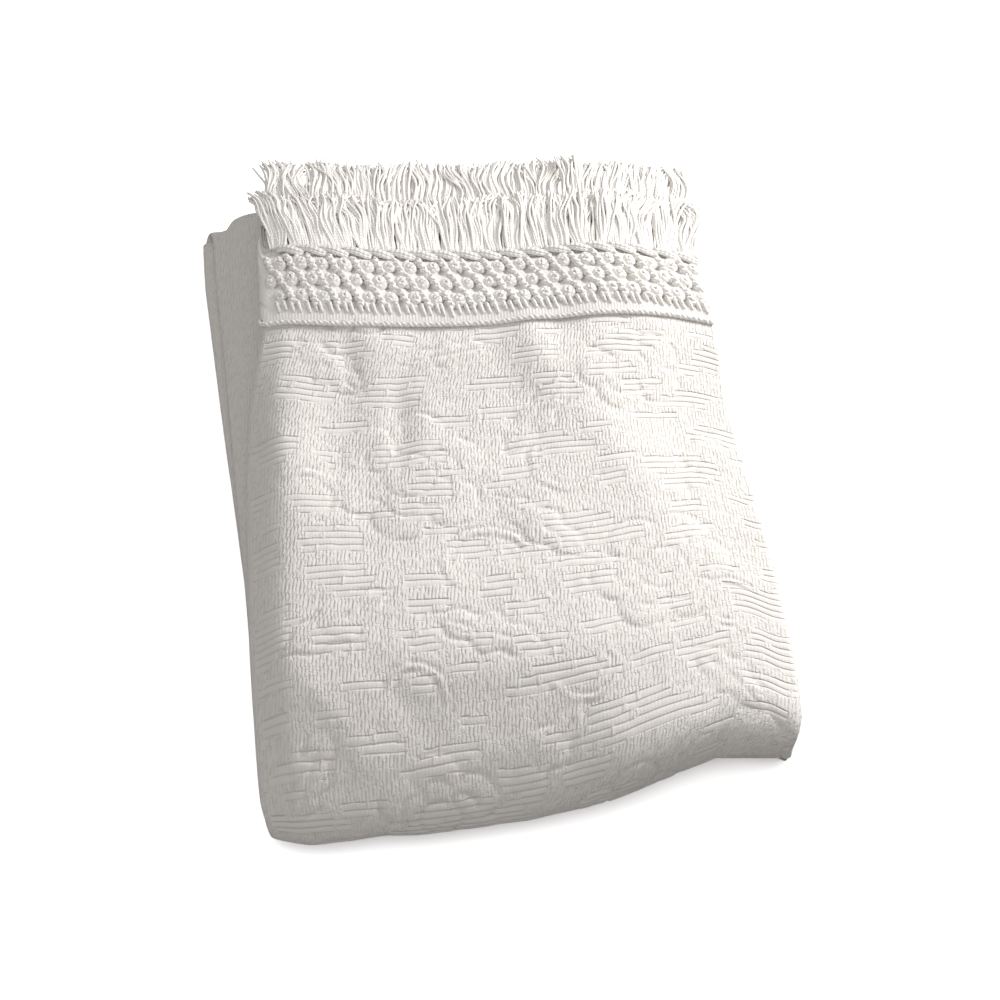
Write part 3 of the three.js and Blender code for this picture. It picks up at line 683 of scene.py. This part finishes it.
# The knotted heading: places from the hem, heights over the cloth, and how uneven handwork is
UNEVEN = 0.5
CHAIN_AT = 6.0
CHAIN_PITCH = 16.4
CHAIN_LOOP = 1.18
CHAIN_STAGGER = 0.5
CHAIN_SLANT = 4.0
CHAIN_SPACING = (1.4, 1.9)
CHAIN_REST, CHAIN_RISE, CHAIN_CROWN = 1.2, 2.6, 0.6
CHAIN_RADIUS = 1.4
TAIL_PITCH = 5.5
TAIL_START, TAIL_END = 52.0, 60.5
TAIL_SLANT = 1.3
TAIL_LIFT = (2.9, 1.6)
TAIL_RADIUS = (1.7, 1.2)
TAIL_UNEVEN, TAIL_RAGGED = 0.6, 0.8
LATTICE_PITCH = 16.4
LATTICE_START = 0.42
KNOT_ROWS = (17.5, 32.0, 46.8)
KNOT_SIZES = (0.86, 1.12)
KNOT_TURNS = 1.7
KNOT_OUT = (4.2, 0.5)
KNOT_LIFT = (2.2, 3.2)
KNOT_SKEW, KNOT_STRETCH = 0.3, 1.2
KNOT_RADIUS = 2.1
CORD_ACROSS, CORD_ALONG = 3.4, 7.4
CORD_BOW = 0.5
CORD_REST, CORD_RISE = 1.6, 1.3
CORD_PLIES = 2
CORD_RADIUS = 1.9
CORD_OFFSET = 1.5
CORD_LAY = 9
CORD_FLATNESS = 0.8
SLIT_SHIFT = (4.8, 1.6)
SLIT_TURN = math.radians(25)
SLIT_WIDTH = 2.5
SLIT_LENGTH = 6.6
WELT_AT, WELT_LIFT = 69.0, 1.5
WELT_SWING, WELT_RISE = 0.8, 0.7
WELT_LAY = 8
WELT_RADIUS = 1.25
BAND_FROM, BAND_TO = 54.0, 66.6
BAND_ARCH, BAND_ROUNDNESS = 1.7, 0.7
BAND_RIB, BAND_RIB_PITCH = 0.3, 2.3
MAT_HEIGHT = 2.5
MAT_REST = 0.05
MAT_OVERLAP = 2
MAT_LUMP = 0.6
MAT_LUMP_PITCH = (4.1, 4.8)


def add_chain(bundle, random):
    """The chain at the hem: loops of three yarns, each one tucked under the next."""
    share = np.linspace(0, 1, 13)
    for start in np.arange(1.0, TRIM_END - 8, CHAIN_PITCH):
        start = start + random.normal(0, UNEVEN)
        if TOP_RUN - 1.2 * CHAIN_PITCH < start < UNDER_START:
            continue
        for yarn in (-1, 0, 1):
            along = start + CHAIN_LOOP * CHAIN_PITCH * (1 - share) + CHAIN_STAGGER * yarn
            slant = CHAIN_SLANT * smooth(0.1, 0.9, share)
            spacing = mix(*CHAIN_SPACING, np.sin(np.pi * share))
            from_hem = CHAIN_AT - CHAIN_SLANT / 2 + slant + yarn * spacing
            rise = CHAIN_REST + CHAIN_RISE * np.sin(np.pi * mix(0.08, 0.94, share))
            rise = rise + CHAIN_CROWN * (yarn == 0)
            path = trim_point(np.clip(along, 0, TRIM_END), from_hem, rise)
            bundle.tube(path, CHAIN_RADIUS, sides=6)


def add_tails(bundle, random):
    """The short tails that the net ends in, on the band."""
    share = np.linspace(0, 1, 6)
    for at in np.arange(4.0, TRIM_END - 4, TAIL_PITCH):
        at = at + random.normal(0, TAIL_UNEVEN)
        if TOP_RUN - 3 < at < UNDER_START + 3:
            continue
        end = TAIL_END + random.normal(0, TAIL_RAGGED)
        along = at + mix(TAIL_SLANT, -TAIL_SLANT, share)
        path = trim_point(along, mix(TAIL_START, end, share), mix(*TAIL_LIFT, share**2))
        bundle.tube(path, mix(*TAIL_RADIUS, share), sides=5)


def add_cord(bundle, path, phase, sides):
    """Lays plies round a path, as in a twisted cord."""
    tangent = unit(np.gradient(path, axis=0))
    side = unit(np.cross(tangent, UP))
    over = np.cross(side, tangent)
    length = run_length(path)
    for ply in range(CORD_PLIES):
        angle = 2 * np.pi * (length / CORD_LAY + ply / CORD_PLIES) + phase
        shift = side * np.cos(angle)[:, None] + over * (CORD_FLATNESS * np.sin(angle))[:, None]
        bundle.tube(path + shift * CORD_OFFSET, CORD_RADIUS, sides)


def add_net(bundle, random, start, end, sides):
    """Rows of round knots, and a thick slanting cord between each knot and the next.

    Gives the places of the slits at the cords' lower sides.
    """
    columns = int(round((end - start) / LATTICE_PITCH))
    pitch = (end - start) / columns
    share = np.linspace(0, 1, 11)
    bow = np.sin(np.pi * share)
    turns = np.linspace(0, KNOT_TURNS, 22)
    wound = turns / turns[-1]
    slits = []
    for row, knot_at in enumerate(KNOT_ROWS):
        for column in range(-1, columns + 1):
            middle = start + (column + LATTICE_START + 0.5 * (row % 2)) * pitch
            middle = middle + random.normal(0, UNEVEN)
            from_hem = knot_at + random.normal(0, UNEVEN)
            size = random.uniform(*KNOT_SIZES)
            spin = 2 * np.pi * turns + random.uniform(0, 6)
            phase = random.uniform(0, 6)
            if start + 2 < middle < end - 1:
                out = size * mix(*KNOT_OUT, wound)
                along = middle + out * (np.cos(spin) - KNOT_SKEW * np.sin(spin))
                knot = trim_point(
                    np.clip(along, start, end),
                    from_hem + KNOT_STRETCH * out * np.sin(spin),
                    mix(*KNOT_LIFT, wound),
                )
                bundle.tube(knot, KNOT_RADIUS * size, sides)
            between = middle + 0.5 * pitch
            if start + 2 < between < end - 1:
                along = between + mix(CORD_ACROSS, -CORD_ACROSS, share) + CORD_BOW * bow
                cord = trim_point(
                    np.clip(along, start, end),
                    from_hem + mix(-CORD_ALONG, CORD_ALONG, share),
                    CORD_REST + CORD_RISE * bow,
                )
                add_cord(bundle, cord, phase, sides)
                slits.append((between + SLIT_SHIFT[0], from_hem + SLIT_SHIFT[1]))
    return slits


def add_welt(bundle):
    """A tight cord of two plies."""
    along = np.arange(0.0, TRIM_END, 0.8)
    for ply in (0, 1):
        angle = 2 * np.pi * (along / WELT_LAY + ply / 2)
        from_hem = WELT_AT + WELT_SWING * np.cos(angle)
        path = trim_point(along, from_hem, WELT_LIFT + WELT_RISE * np.sin(angle))
        bundle.tube(path, WELT_RADIUS, sides=6)


def add_band(bundle):
    """The plain ribbed band between the welt and the net."""
    along = np.arange(0.0, TRIM_END, 0.58)[None, :]
    share = np.linspace(0, 1, 9)[:, None]
    arch = BAND_ARCH * np.sin(np.pi * mix(0.06, 0.95, share)) ** BAND_ROUNDNESS
    rib = BAND_RIB * np.sin(2 * np.pi * along / BAND_RIB_PITCH)
    lift = arch + rib * np.sin(np.pi * share)
    bundle.grid(trim_point(along, mix(BAND_FROM, BAND_TO, share), lift))


def add_mat(bundle, slits):
    """The mat that the net's knots and cords sink into, cut by the slits."""
    along = np.arange(0.0, TRIM_END, 1.2)[None, :]
    share = np.linspace(0, 1, 38)[:, None]
    from_hem = mix(CHAIN_AT + MAT_OVERLAP, BAND_FROM + MAT_OVERLAP, share)
    lumps = MAT_LUMP * np.sin(2 * np.pi * along / MAT_LUMP_PITCH[0])
    lumps = lumps * np.sin(2 * np.pi * from_hem / MAT_LUMP_PITCH[1])
    closed = smooth(0, 0.1, share) * (1 - smooth(0.92, 1, share)) + 0 * along
    turn_cos, turn_sin = math.cos(SLIT_TURN), math.sin(SLIT_TURN)
    for slit_along, slit_from in slits:
        aside = (along - slit_along) * turn_cos + (from_hem - slit_from) * turn_sin
        ahead = (from_hem - slit_from) * turn_cos - (along - slit_along) * turn_sin
        closed = closed * (1 - np.exp(-((aside / SLIT_WIDTH) ** 4) - (ahead / SLIT_LENGTH) ** 4))
    bundle.grid(trim_point(along, from_hem, MAT_REST + (MAT_HEIGHT + lumps) * closed))


def make_heading():
    bundle = Bundle()
    random = np.random.default_rng(3)
    add_chain(bundle, random)
    add_tails(bundle, random)
    slits = add_net(bundle, random, 0.5, TOP_RUN, sides=6)
    slits += add_net(bundle, random, UNDER_START, TRIM_END, sides=5)
    add_welt(bundle)
    add_band(bundle)
    add_mat(bundle, slits)
    return bundle.piece("heading_cords")


# The fringe: kinked yarns in locks, one run along the top hem and one along the hem under it
YARN_RADIUS = 0.94
YARN_SIZES = (0.85, 1.12)
YARN_STEPS = 17
TIP_FROM, TIP_SIZE = 0.95, 0.75
ROOT_AT, ROOT_LIFT = CHAIN_AT - 3.6, 0.9
ROOT_SPREAD = (-0.6, 1.2)
LOCK_PITCH = 16.4
LOCK_FILL = 0.94
# How far the locks differ from each other
LOCK_SWAY, LOCK_BEND, LOCK_LIFT, LOCK_LENGTH = 2.4, 2.4, 0.9, 2.0
LOCK_WAIST = (0.86, 1.08)
LOCK_WAVE, LOCK_WAVES = 2.5, 7.5
# How far the yarns of a lock differ
YARN_LENGTH, YARN_SWAY, YARN_KINK, YARN_CURL, YARN_HEAVE = 2.4, 1.7, 1.0, 3.6, 0.8
YARN_FAN, FAN_GROWTH = (0.1, 0.28), 2.2
KINK_WAVES, HEAVE_WAVES = (6, 13), (4, 9)
CURL_SHARPNESS, CURL_SHORTENS = (4, 9), 0.35
SWAY_GROWTH = 1.5
DROOP = 0.04
# Loose yarns fill the partings: their share, and how far they follow their lock
LOOSE_YARNS = 0.42
LOOSE_HOLD = 0.1
LOOSE_GATHER, LOCK_GATHER = 0.02, 2.2
GATHER_FULL, GATHER_END = 1.1, 0.4
LOOSE_LAYERS, LOCK_LAYERS = (-1.6, 0.4), (-1.0, 2.6)


def make_fringe(name, start, end, count, seed, length, at_sides, lean, rises):
    bundle = Bundle()
    random = np.random.default_rng(seed)
    share = np.linspace(0, 1, YARN_STEPS)
    locks = int(round(abs(end - start) / LOCK_PITCH))
    lock_sway = random.normal(0, LOCK_SWAY, locks + 1)
    lock_bend = random.normal(0, LOCK_BEND, locks + 1)
    lock_lift = random.normal(0, LOCK_LIFT, locks + 1)
    lock_length = random.normal(0, LOCK_LENGTH, locks + 1)
    lock_waist = random.uniform(*LOCK_WAIST, locks + 1)
    lock_wave = random.normal(0, LOCK_WAVE, locks + 1)
    lock_phase = random.uniform(0, 2 * np.pi, locks + 1)
    direction = 1 if end > start else -1
    for k in range(count):
        where = (k + random.uniform(0, 1)) / count
        lock = min(int(where * locks), locks - 1)
        inside = where * locks - lock - 0.5
        root_along = mix(start, end, (lock + 0.5 + inside * LOCK_FILL) / locks)
        root = trim_point(root_along, ROOT_AT, ROOT_LIFT + random.uniform(*ROOT_SPREAD))
        to_right = smooth(0, FOLDED_WIDTH / 2, root[0])
        to_left = smooth(0, FOLDED_WIDTH / 2, -root[0])
        reach = length + at_sides[0] * to_left + at_sides[1] * to_right + lock_length[lock]
        reach = reach + random.normal(0, YARN_LENGTH)

        # Each lock is gathered at its root and opens towards its tips
        loose = random.uniform(0, 1) < LOOSE_YARNS
        held = LOOSE_HOLD if loose else 1.0
        spread_out = -direction * inside * LOCK_PITCH
        waist = held * (lock_waist[lock] - 1) * np.sin(np.pi * np.clip(share * 1.25, 0, 1))
        gather = (LOOSE_GATHER if loose else LOCK_GATHER) * (lock_waist[lock] - GATHER_FULL)
        gather = gather * (1 - smooth(0, GATHER_END, share))
        tip_fan = random.normal(*YARN_FAN) * share**FAN_GROWTH
        sway = lean[0] * to_left + lean[1] * to_right + held * lock_sway[lock]
        sway = sway + random.normal(0, YARN_SWAY)
        bend = held * lock_bend[lock] * np.sin(np.pi * share)
        bend = bend + held * lock_wave[lock] * np.sin(LOCK_WAVES * share + lock_phase[lock]) * share

        # The order of these random draws decides every yarn after them
        kink = random.normal(0, YARN_KINK)
        kink = kink * np.sin(share * random.uniform(*KINK_WAVES) + random.uniform(0, 6))
        curl = random.normal(0, YARN_CURL) * share ** random.uniform(*CURL_SHARPNESS)
        x = root[0] + sway * share**SWAY_GROWTH + spread_out * (waist + gather + tip_fan)
        x = x + bend + kink * np.sqrt(share) + curl
        y = root[1] + reach * share * (1 - DROOP * share) - CURL_SHORTENS * np.abs(curl)
        layer = random.uniform(*(LOOSE_LAYERS if loose else LOCK_LAYERS)) + lock_lift[lock]
        heave = random.normal(0, YARN_HEAVE)
        heave = heave * np.sin(share * random.uniform(*HEAVE_WAVES) + random.uniform(0, 6))
        z = root[2] + np.interp(share, *rises) + layer * np.sin(np.pi * share * 0.6) + heave * share
        taper = YARN_RADIUS * random.uniform(*YARN_SIZES) * np.where(share > TIP_FROM, TIP_SIZE, 1.0)
        bundle.tube(np.stack([x, y, z], -1), taper, sides=5)
    return bundle.piece(name)


# Materials: ivory cotton, woven or twisted
class Nodes:
    """Short names for building a node tree."""

    def __init__(self, name):
        self.material = bpy.data.materials.new(name)
        self.material.use_nodes = True
        self.tree = self.material.node_tree
        self.shader = self.tree.nodes["Principled BSDF"]

    def link(self, source, target):
        self.tree.links.new(source, target)

    def put(self, socket, value):
        if isinstance(value, (int, float, tuple)):
            socket.default_value = value
        else:
            self.link(value, socket)

    def math(self, operation, *values):
        node = self.tree.nodes.new("ShaderNodeMath")
        node.operation = operation
        for socket, value in zip(node.inputs, values):
            self.put(socket, value)
        return node.outputs[0]

    def times(self, a, b):
        return self.math("MULTIPLY", a, b)

    def scaled(self, value, by, plus):
        return self.math("MULTIPLY_ADD", value, by, plus)

    def uv(self):
        node = self.tree.nodes.new("ShaderNodeUVMap")
        node.uv_map = "cloth"
        split = self.tree.nodes.new("ShaderNodeSeparateXYZ")
        self.link(node.outputs[0], split.inputs[0])
        return split.outputs[0], split.outputs[1]

    def point(self, x, y):
        node = self.tree.nodes.new("ShaderNodeCombineXYZ")
        self.put(node.inputs[0], x)
        self.put(node.inputs[1], y)
        return node.outputs[0]

    def noise(self, vector, detail):
        node = self.tree.nodes.new("ShaderNodeTexNoise")
        self.link(vector, node.inputs["Vector"])
        node.inputs["Scale"].default_value = 1.0
        node.inputs["Detail"].default_value = detail
        return node.outputs["Fac"]

    def patches(self, x, y, grain):
        place = self.point(self.times(x, grain[0]), self.times(y, grain[1]))
        return self.noise(place, 2.0)

    def chance(self, number):
        node = self.tree.nodes.new("ShaderNodeTexWhiteNoise")
        node.noise_dimensions = "1D"
        self.link(number, node.inputs["W"])
        return node.outputs["Value"]

    def attribute(self, name):
        node = self.tree.nodes.new("ShaderNodeAttribute")
        node.attribute_name = name
        return node.outputs["Fac"]

    def ramp(self, value, low, high):
        node = self.tree.nodes.new("ShaderNodeMapRange")
        node.interpolation_type = "SMOOTHSTEP"
        self.put(node.inputs["Value"], value)
        node.inputs["From Min"].default_value = low
        node.inputs["From Max"].default_value = high
        return node.outputs["Result"]

    def blend(self, share, dark, light):
        node = self.tree.nodes.new("ShaderNodeMix")
        node.data_type = "RGBA"
        self.put(node.inputs["Factor"], share)
        node.inputs["A"].default_value = dark
        node.inputs["B"].default_value = light
        return node.outputs["Result"]

    def bump(self, height, distance):
        node = self.tree.nodes.new("ShaderNodeBump")
        node.inputs["Strength"].default_value = 1.0
        node.inputs["Distance"].default_value = distance
        self.link(height, node.inputs["Height"])
        self.link(node.outputs[0], self.shader.inputs["Normal"])


IVORY = (0.87, 0.84, 0.80, 1)
# The darker ivory is painted shade, coloured into the weave's grooves, the valleys between ridges and
# the seams
IVORY_PAINTED_SHADE = (0.70, 0.66, 0.62, 1)
YARN_IVORY = (0.94, 0.915, 0.88, 1)
# The darker yarn tone is painted shade, coloured into the hollows between the twisted plies
YARN_PAINTED_SHADE = (0.78, 0.745, 0.71, 1)
COTTON = {
    "Roughness": 0.95, "Specular IOR Level": 0.15, "Sheen Weight": 0.12, "Sheen Roughness": 0.6,
}
FLOOR_TONES = (0.93, 0.93, 0.93, 1), (0.95, 0.95, 0.95, 1)
PER_METRE = 1000.0
# The short rods of the weave between the ridges: their pitch, lean, ends and grooves
RIB_PITCH = 2.3
RIB_SLANT = -0.05
ROD_LENGTH = 7.5
ROD_LEAN = 0.6
ROD_END_FROM, ROD_END_TO, ROD_END_DEPTH = 0.34, 0.5, 0.85
GROOVE_FROM, GROOVE_TO = 0.1, 0.55
# How fine their unevenness is across and along, and how far it reaches
DRIFT_GRAIN, DRIFT_RIBS, DRIFT_RODS = (0.07, 0.08), 2.5, 3.0
WEAR_GRAIN, WORN_FROM, WORN_TO = (0.3, 0.2), 0.25, 0.65
FIBRE_GRAIN, FIBRE_HEIGHT = (1.5, 1.1), 0.4
RIDGE_PLAINNESS = 0.8
VALLEY_FROM, VALLEY_DEPTH = 0.6, -0.9
WEAVE_BUMP = 0.0005
# Painted shade: how far the seams, the valleys between ridges and the grooves between rods are coloured
# towards the darker ivory
SEAM_SHADE, VALLEY_SHADE, GROOVE_SHADE = 0.3, 0.3, 0.22
# The twist of the yarns
STRANDS = 2
FUZZ_GRAIN, FUZZ_HEIGHT = (9.0, 900.0), 0.5
STRAND_SHADE = 0.25


def cotton(name):
    nodes = Nodes(name)
    for socket, value in COTTON.items():
        nodes.shader.inputs[socket].default_value = value
    return nodes


def woven_material():
    nodes = cotton("woven_cotton")
    u, v = nodes.uv()
    x = nodes.times(u, PER_METRE)
    y = nodes.times(v, PER_METRE)
    drift = nodes.patches(x, y, DRIFT_GRAIN)
    lean = nodes.scaled(y, RIB_SLANT, x)
    count = nodes.math("DIVIDE", nodes.scaled(drift, DRIFT_RIBS, lean), RIB_PITCH)
    begin = nodes.scaled(drift, DRIFT_RODS, nodes.chance(nodes.math("FLOOR", count)))
    along = nodes.math("FRACT", nodes.math("ADD", nodes.math("DIVIDE", y, ROD_LENGTH), begin))
    along = nodes.math("SUBTRACT", along, 0.5)
    middle = nodes.scaled(along, ROD_LEAN, 0.5)
    side = nodes.math("ABSOLUTE", nodes.math("SUBTRACT", nodes.math("FRACT", count), middle))
    ends = nodes.ramp(nodes.math("ABSOLUTE", along), ROD_END_FROM, ROD_END_TO)
    ends = nodes.times(ends, ROD_END_DEPTH)
    groove = nodes.math("MAXIMUM", nodes.ramp(side, GROOVE_FROM, GROOVE_TO), ends)
    worn = nodes.ramp(nodes.patches(x, y, WEAR_GRAIN), WORN_FROM, WORN_TO)
    groove = nodes.times(groove, worn)
    rods = nodes.math("SUBTRACT", 1.0, groove)
    fibre = nodes.patches(x, y, FIBRE_GRAIN)
    ground = nodes.attribute("ground")
    plain = nodes.math("SUBTRACT", 1.0, nodes.times(ground, RIDGE_PLAINNESS))
    phase = nodes.math("FRACT", nodes.attribute("weft"))
    valley = nodes.math("ABSOLUTE", nodes.scaled(phase, 2.0, -1.0))
    valley = nodes.times(nodes.ramp(valley, VALLEY_FROM, 1.0), ground)
    height = nodes.times(rods, plain)
    height = nodes.scaled(fibre, FIBRE_HEIGHT, height)
    height = nodes.scaled(valley, VALLEY_DEPTH, height)
    nodes.bump(height, WEAVE_BUMP)
    # Painted shade: the valleys, the seams and the grooves are coloured darker, as the shade that falls
    # in them
    hollow = nodes.times(valley, VALLEY_SHADE)
    hollow = nodes.scaled(nodes.attribute("seam"), SEAM_SHADE, hollow)
    shade = nodes.times(groove, plain)
    shade = nodes.scaled(shade, GROOVE_SHADE, hollow)
    nodes.link(nodes.blend(shade, IVORY, IVORY_PAINTED_SHADE), nodes.shader.inputs["Base Color"])
    return nodes.material


def yarn_material(name, lay, depth):
    nodes = cotton(name)
    u, v = nodes.uv()
    turn = nodes.times(u, 2 * math.pi * STRANDS)
    along = nodes.times(v, PER_METRE * 2 * math.pi / lay)
    strand = nodes.math("SINE", nodes.math("ADD", turn, along))
    strand = nodes.scaled(strand, 0.5, 0.5)
    fuzz = nodes.patches(u, v, FUZZ_GRAIN)
    height = nodes.scaled(fuzz, FUZZ_HEIGHT, strand)
    nodes.bump(height, depth)
    # Painted shade: the hollows between the plies of the twist are coloured darker
    shade = nodes.times(nodes.math("SUBTRACT", 1.0, strand), STRAND_SHADE)
    nodes.link(nodes.blend(shade, YARN_IVORY, YARN_PAINTED_SHADE), nodes.shader.inputs["Base Color"])
    return nodes.material


def floor_material():
    nodes = Nodes("pale_floor")
    place = nodes.tree.nodes.new("ShaderNodeTexCoord").outputs["Object"]
    nodes.shader.inputs["Roughness"].default_value = 0.8
    tone = nodes.blend(nodes.noise(place, 3.0), *FLOOR_TONES)
    nodes.link(tone, nodes.shader.inputs["Base Color"])
    return nodes.material


spread = make_spread()
spread.data.materials.append(woven_material())
heading = make_heading()
heading.data.materials.append(yarn_material("heading_cotton", lay=3.2, depth=0.0003))
fringe_cotton = yarn_material("fringe_cotton", lay=2.6, depth=0.00025)
upper = make_fringe(
    "fringe_upper", 0.5, TOP_RUN - 0.5, count=1080, seed=5, length=57,
    at_sides=(-2, -2), lean=(-13, 9), rises=((0, 0.45, 1), (0, 1.6, -1.2)),
)
lower = make_fringe(
    "fringe_lower", TRIM_END - 1, UNDER_START + 1, count=940, seed=9, length=74,
    at_sides=(-8, -5), lean=(-5, 14), rises=((0, 0.45, 1), (0, 0.2, -7)),
)
for piece in (upper, lower):
    piece.data.materials.append(fringe_cotton)

for piece in (spread, heading, upper, lower):
    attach(piece, "root")
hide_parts("spread_cloth")
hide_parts("trim_heading")
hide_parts("trim_fringe")

# Floor, light and camera. The floor lies just under the cloth, so that the two don't fight
FLOOR_HALF = 6
FLOOR_DROP = 0.0006
SKY_FROM, SKY_TO = -0.1, 0.25
SKY_LOW, SKY_HIGH = (0.212, 0.205, 0.202, 1), (0.475, 0.467, 0.465, 1)
floor_mesh = bpy.data.meshes.new("floor")
floor_corners = [(x * FLOOR_HALF, y * FLOOR_HALF, 0) for x, y in ((-1, -1), (1, -1), (1, 1), (-1, 1))]
floor_mesh.from_pydata(floor_corners, [], [(0, 1, 2, 3)])
floor = bpy.data.objects.new("floor", floor_mesh)
floor.location.z = -FLOOR_DROP
floor.data.materials.append(floor_material())
bpy.context.scene.collection.objects.link(floor)
floor.visible_diffuse = False

world = bpy.data.worlds.new("studio")
bpy.context.scene.world = world
world.use_nodes = True
sky = world.node_tree.nodes
direction = sky.new("ShaderNodeSeparateXYZ")
height = sky.new("ShaderNodeMapRange")
height.inputs["From Min"].default_value = SKY_FROM
height.inputs["From Max"].default_value = SKY_TO
tone = sky.new("ShaderNodeMix")
tone.data_type = "RGBA"
tone.inputs["A"].default_value = SKY_LOW
tone.inputs["B"].default_value = SKY_HIGH
join = world.node_tree.links.new
join(sky.new("ShaderNodeTexCoord").outputs["Generated"], direction.inputs[0])
join(direction.outputs[2], height.inputs["Value"])
join(height.outputs["Result"], tone.inputs["Factor"])
join(tone.outputs["Result"], sky["Background"].inputs["Color"])


def direction_to(azimuth, elevation):
    """Direction from the bundle to a lamp or camera, from the front round to the right, and up."""
    a, e = math.radians(azimuth), math.radians(elevation)
    return Vector((math.sin(a) * math.cos(e), -math.cos(a) * math.cos(e), math.sin(e)))


def add_light(name, kind, pieces, energy, azimuth, elevation, distance, **settings):
    """A lamp that lights only the pieces given."""
    light = bpy.data.lights.new(name, kind)
    light.energy = energy
    for setting, value in settings.items():
        setattr(light, setting, value)
    lamp = bpy.data.objects.new(name, light)
    back = direction_to(azimuth, elevation)
    lamp.location = back * distance
    lamp.rotation_euler = back.to_track_quat("Z", "Y").to_euler()
    bpy.context.scene.collection.objects.link(lamp)
    lit = bpy.data.collections.new(name + "_lights")
    for piece in pieces:
        lit.objects.link(piece)
    lamp.light_linking.receiver_collection = lit


WINDOW = {
    "azimuth": 122, "elevation": 30, "shape": "DISK", "size": 0.5, "color": (1.0, 0.99, 0.975),
}
FILL = {"azimuth": 20, "elevation": 60, "distance": 3, "angle": math.radians(100)}
CEILING = {"azimuth": 150, "elevation": 86, "distance": 3, "angle": math.radians(120)}
add_light("window", "AREA", [spread], energy=21.8, distance=1.4, **WINDOW)
add_light("window_on_trim", "AREA", [heading, upper, lower], energy=9.5, distance=1.05, **WINDOW)
add_light("fill_on_heading", "SUN", [heading], energy=0.28, **FILL)
add_light("fill_on_fringe", "SUN", [upper, lower], energy=0.75, **FILL)
add_light("ceiling", "SUN", [floor], energy=4.5, **CEILING)

CAMERA_AZIMUTH, CAMERA_ELEVATION = -5, 56
CAMERA_DISTANCE = 1.16
CAMERA_LENS, CAMERA_SENSOR = 61.2, 36
TARGET = Vector((SHIFT[0], SHIFT[1], 30)) * MM
camera_data = bpy.data.cameras.new("camera")
camera_data.lens = CAMERA_LENS
camera_data.sensor_width = CAMERA_SENSOR
camera = bpy.data.objects.new("camera", camera_data)
towards = direction_to(CAMERA_AZIMUTH, CAMERA_ELEVATION)
camera.location = TARGET + towards * CAMERA_DISTANCE
camera.rotation_euler = towards.to_track_quat("Z", "Y").to_euler()
bpy.context.scene.collection.objects.link(camera)
bpy.context.scene.camera = camera
bpy.context.scene.view_settings.view_transform = "Standard"
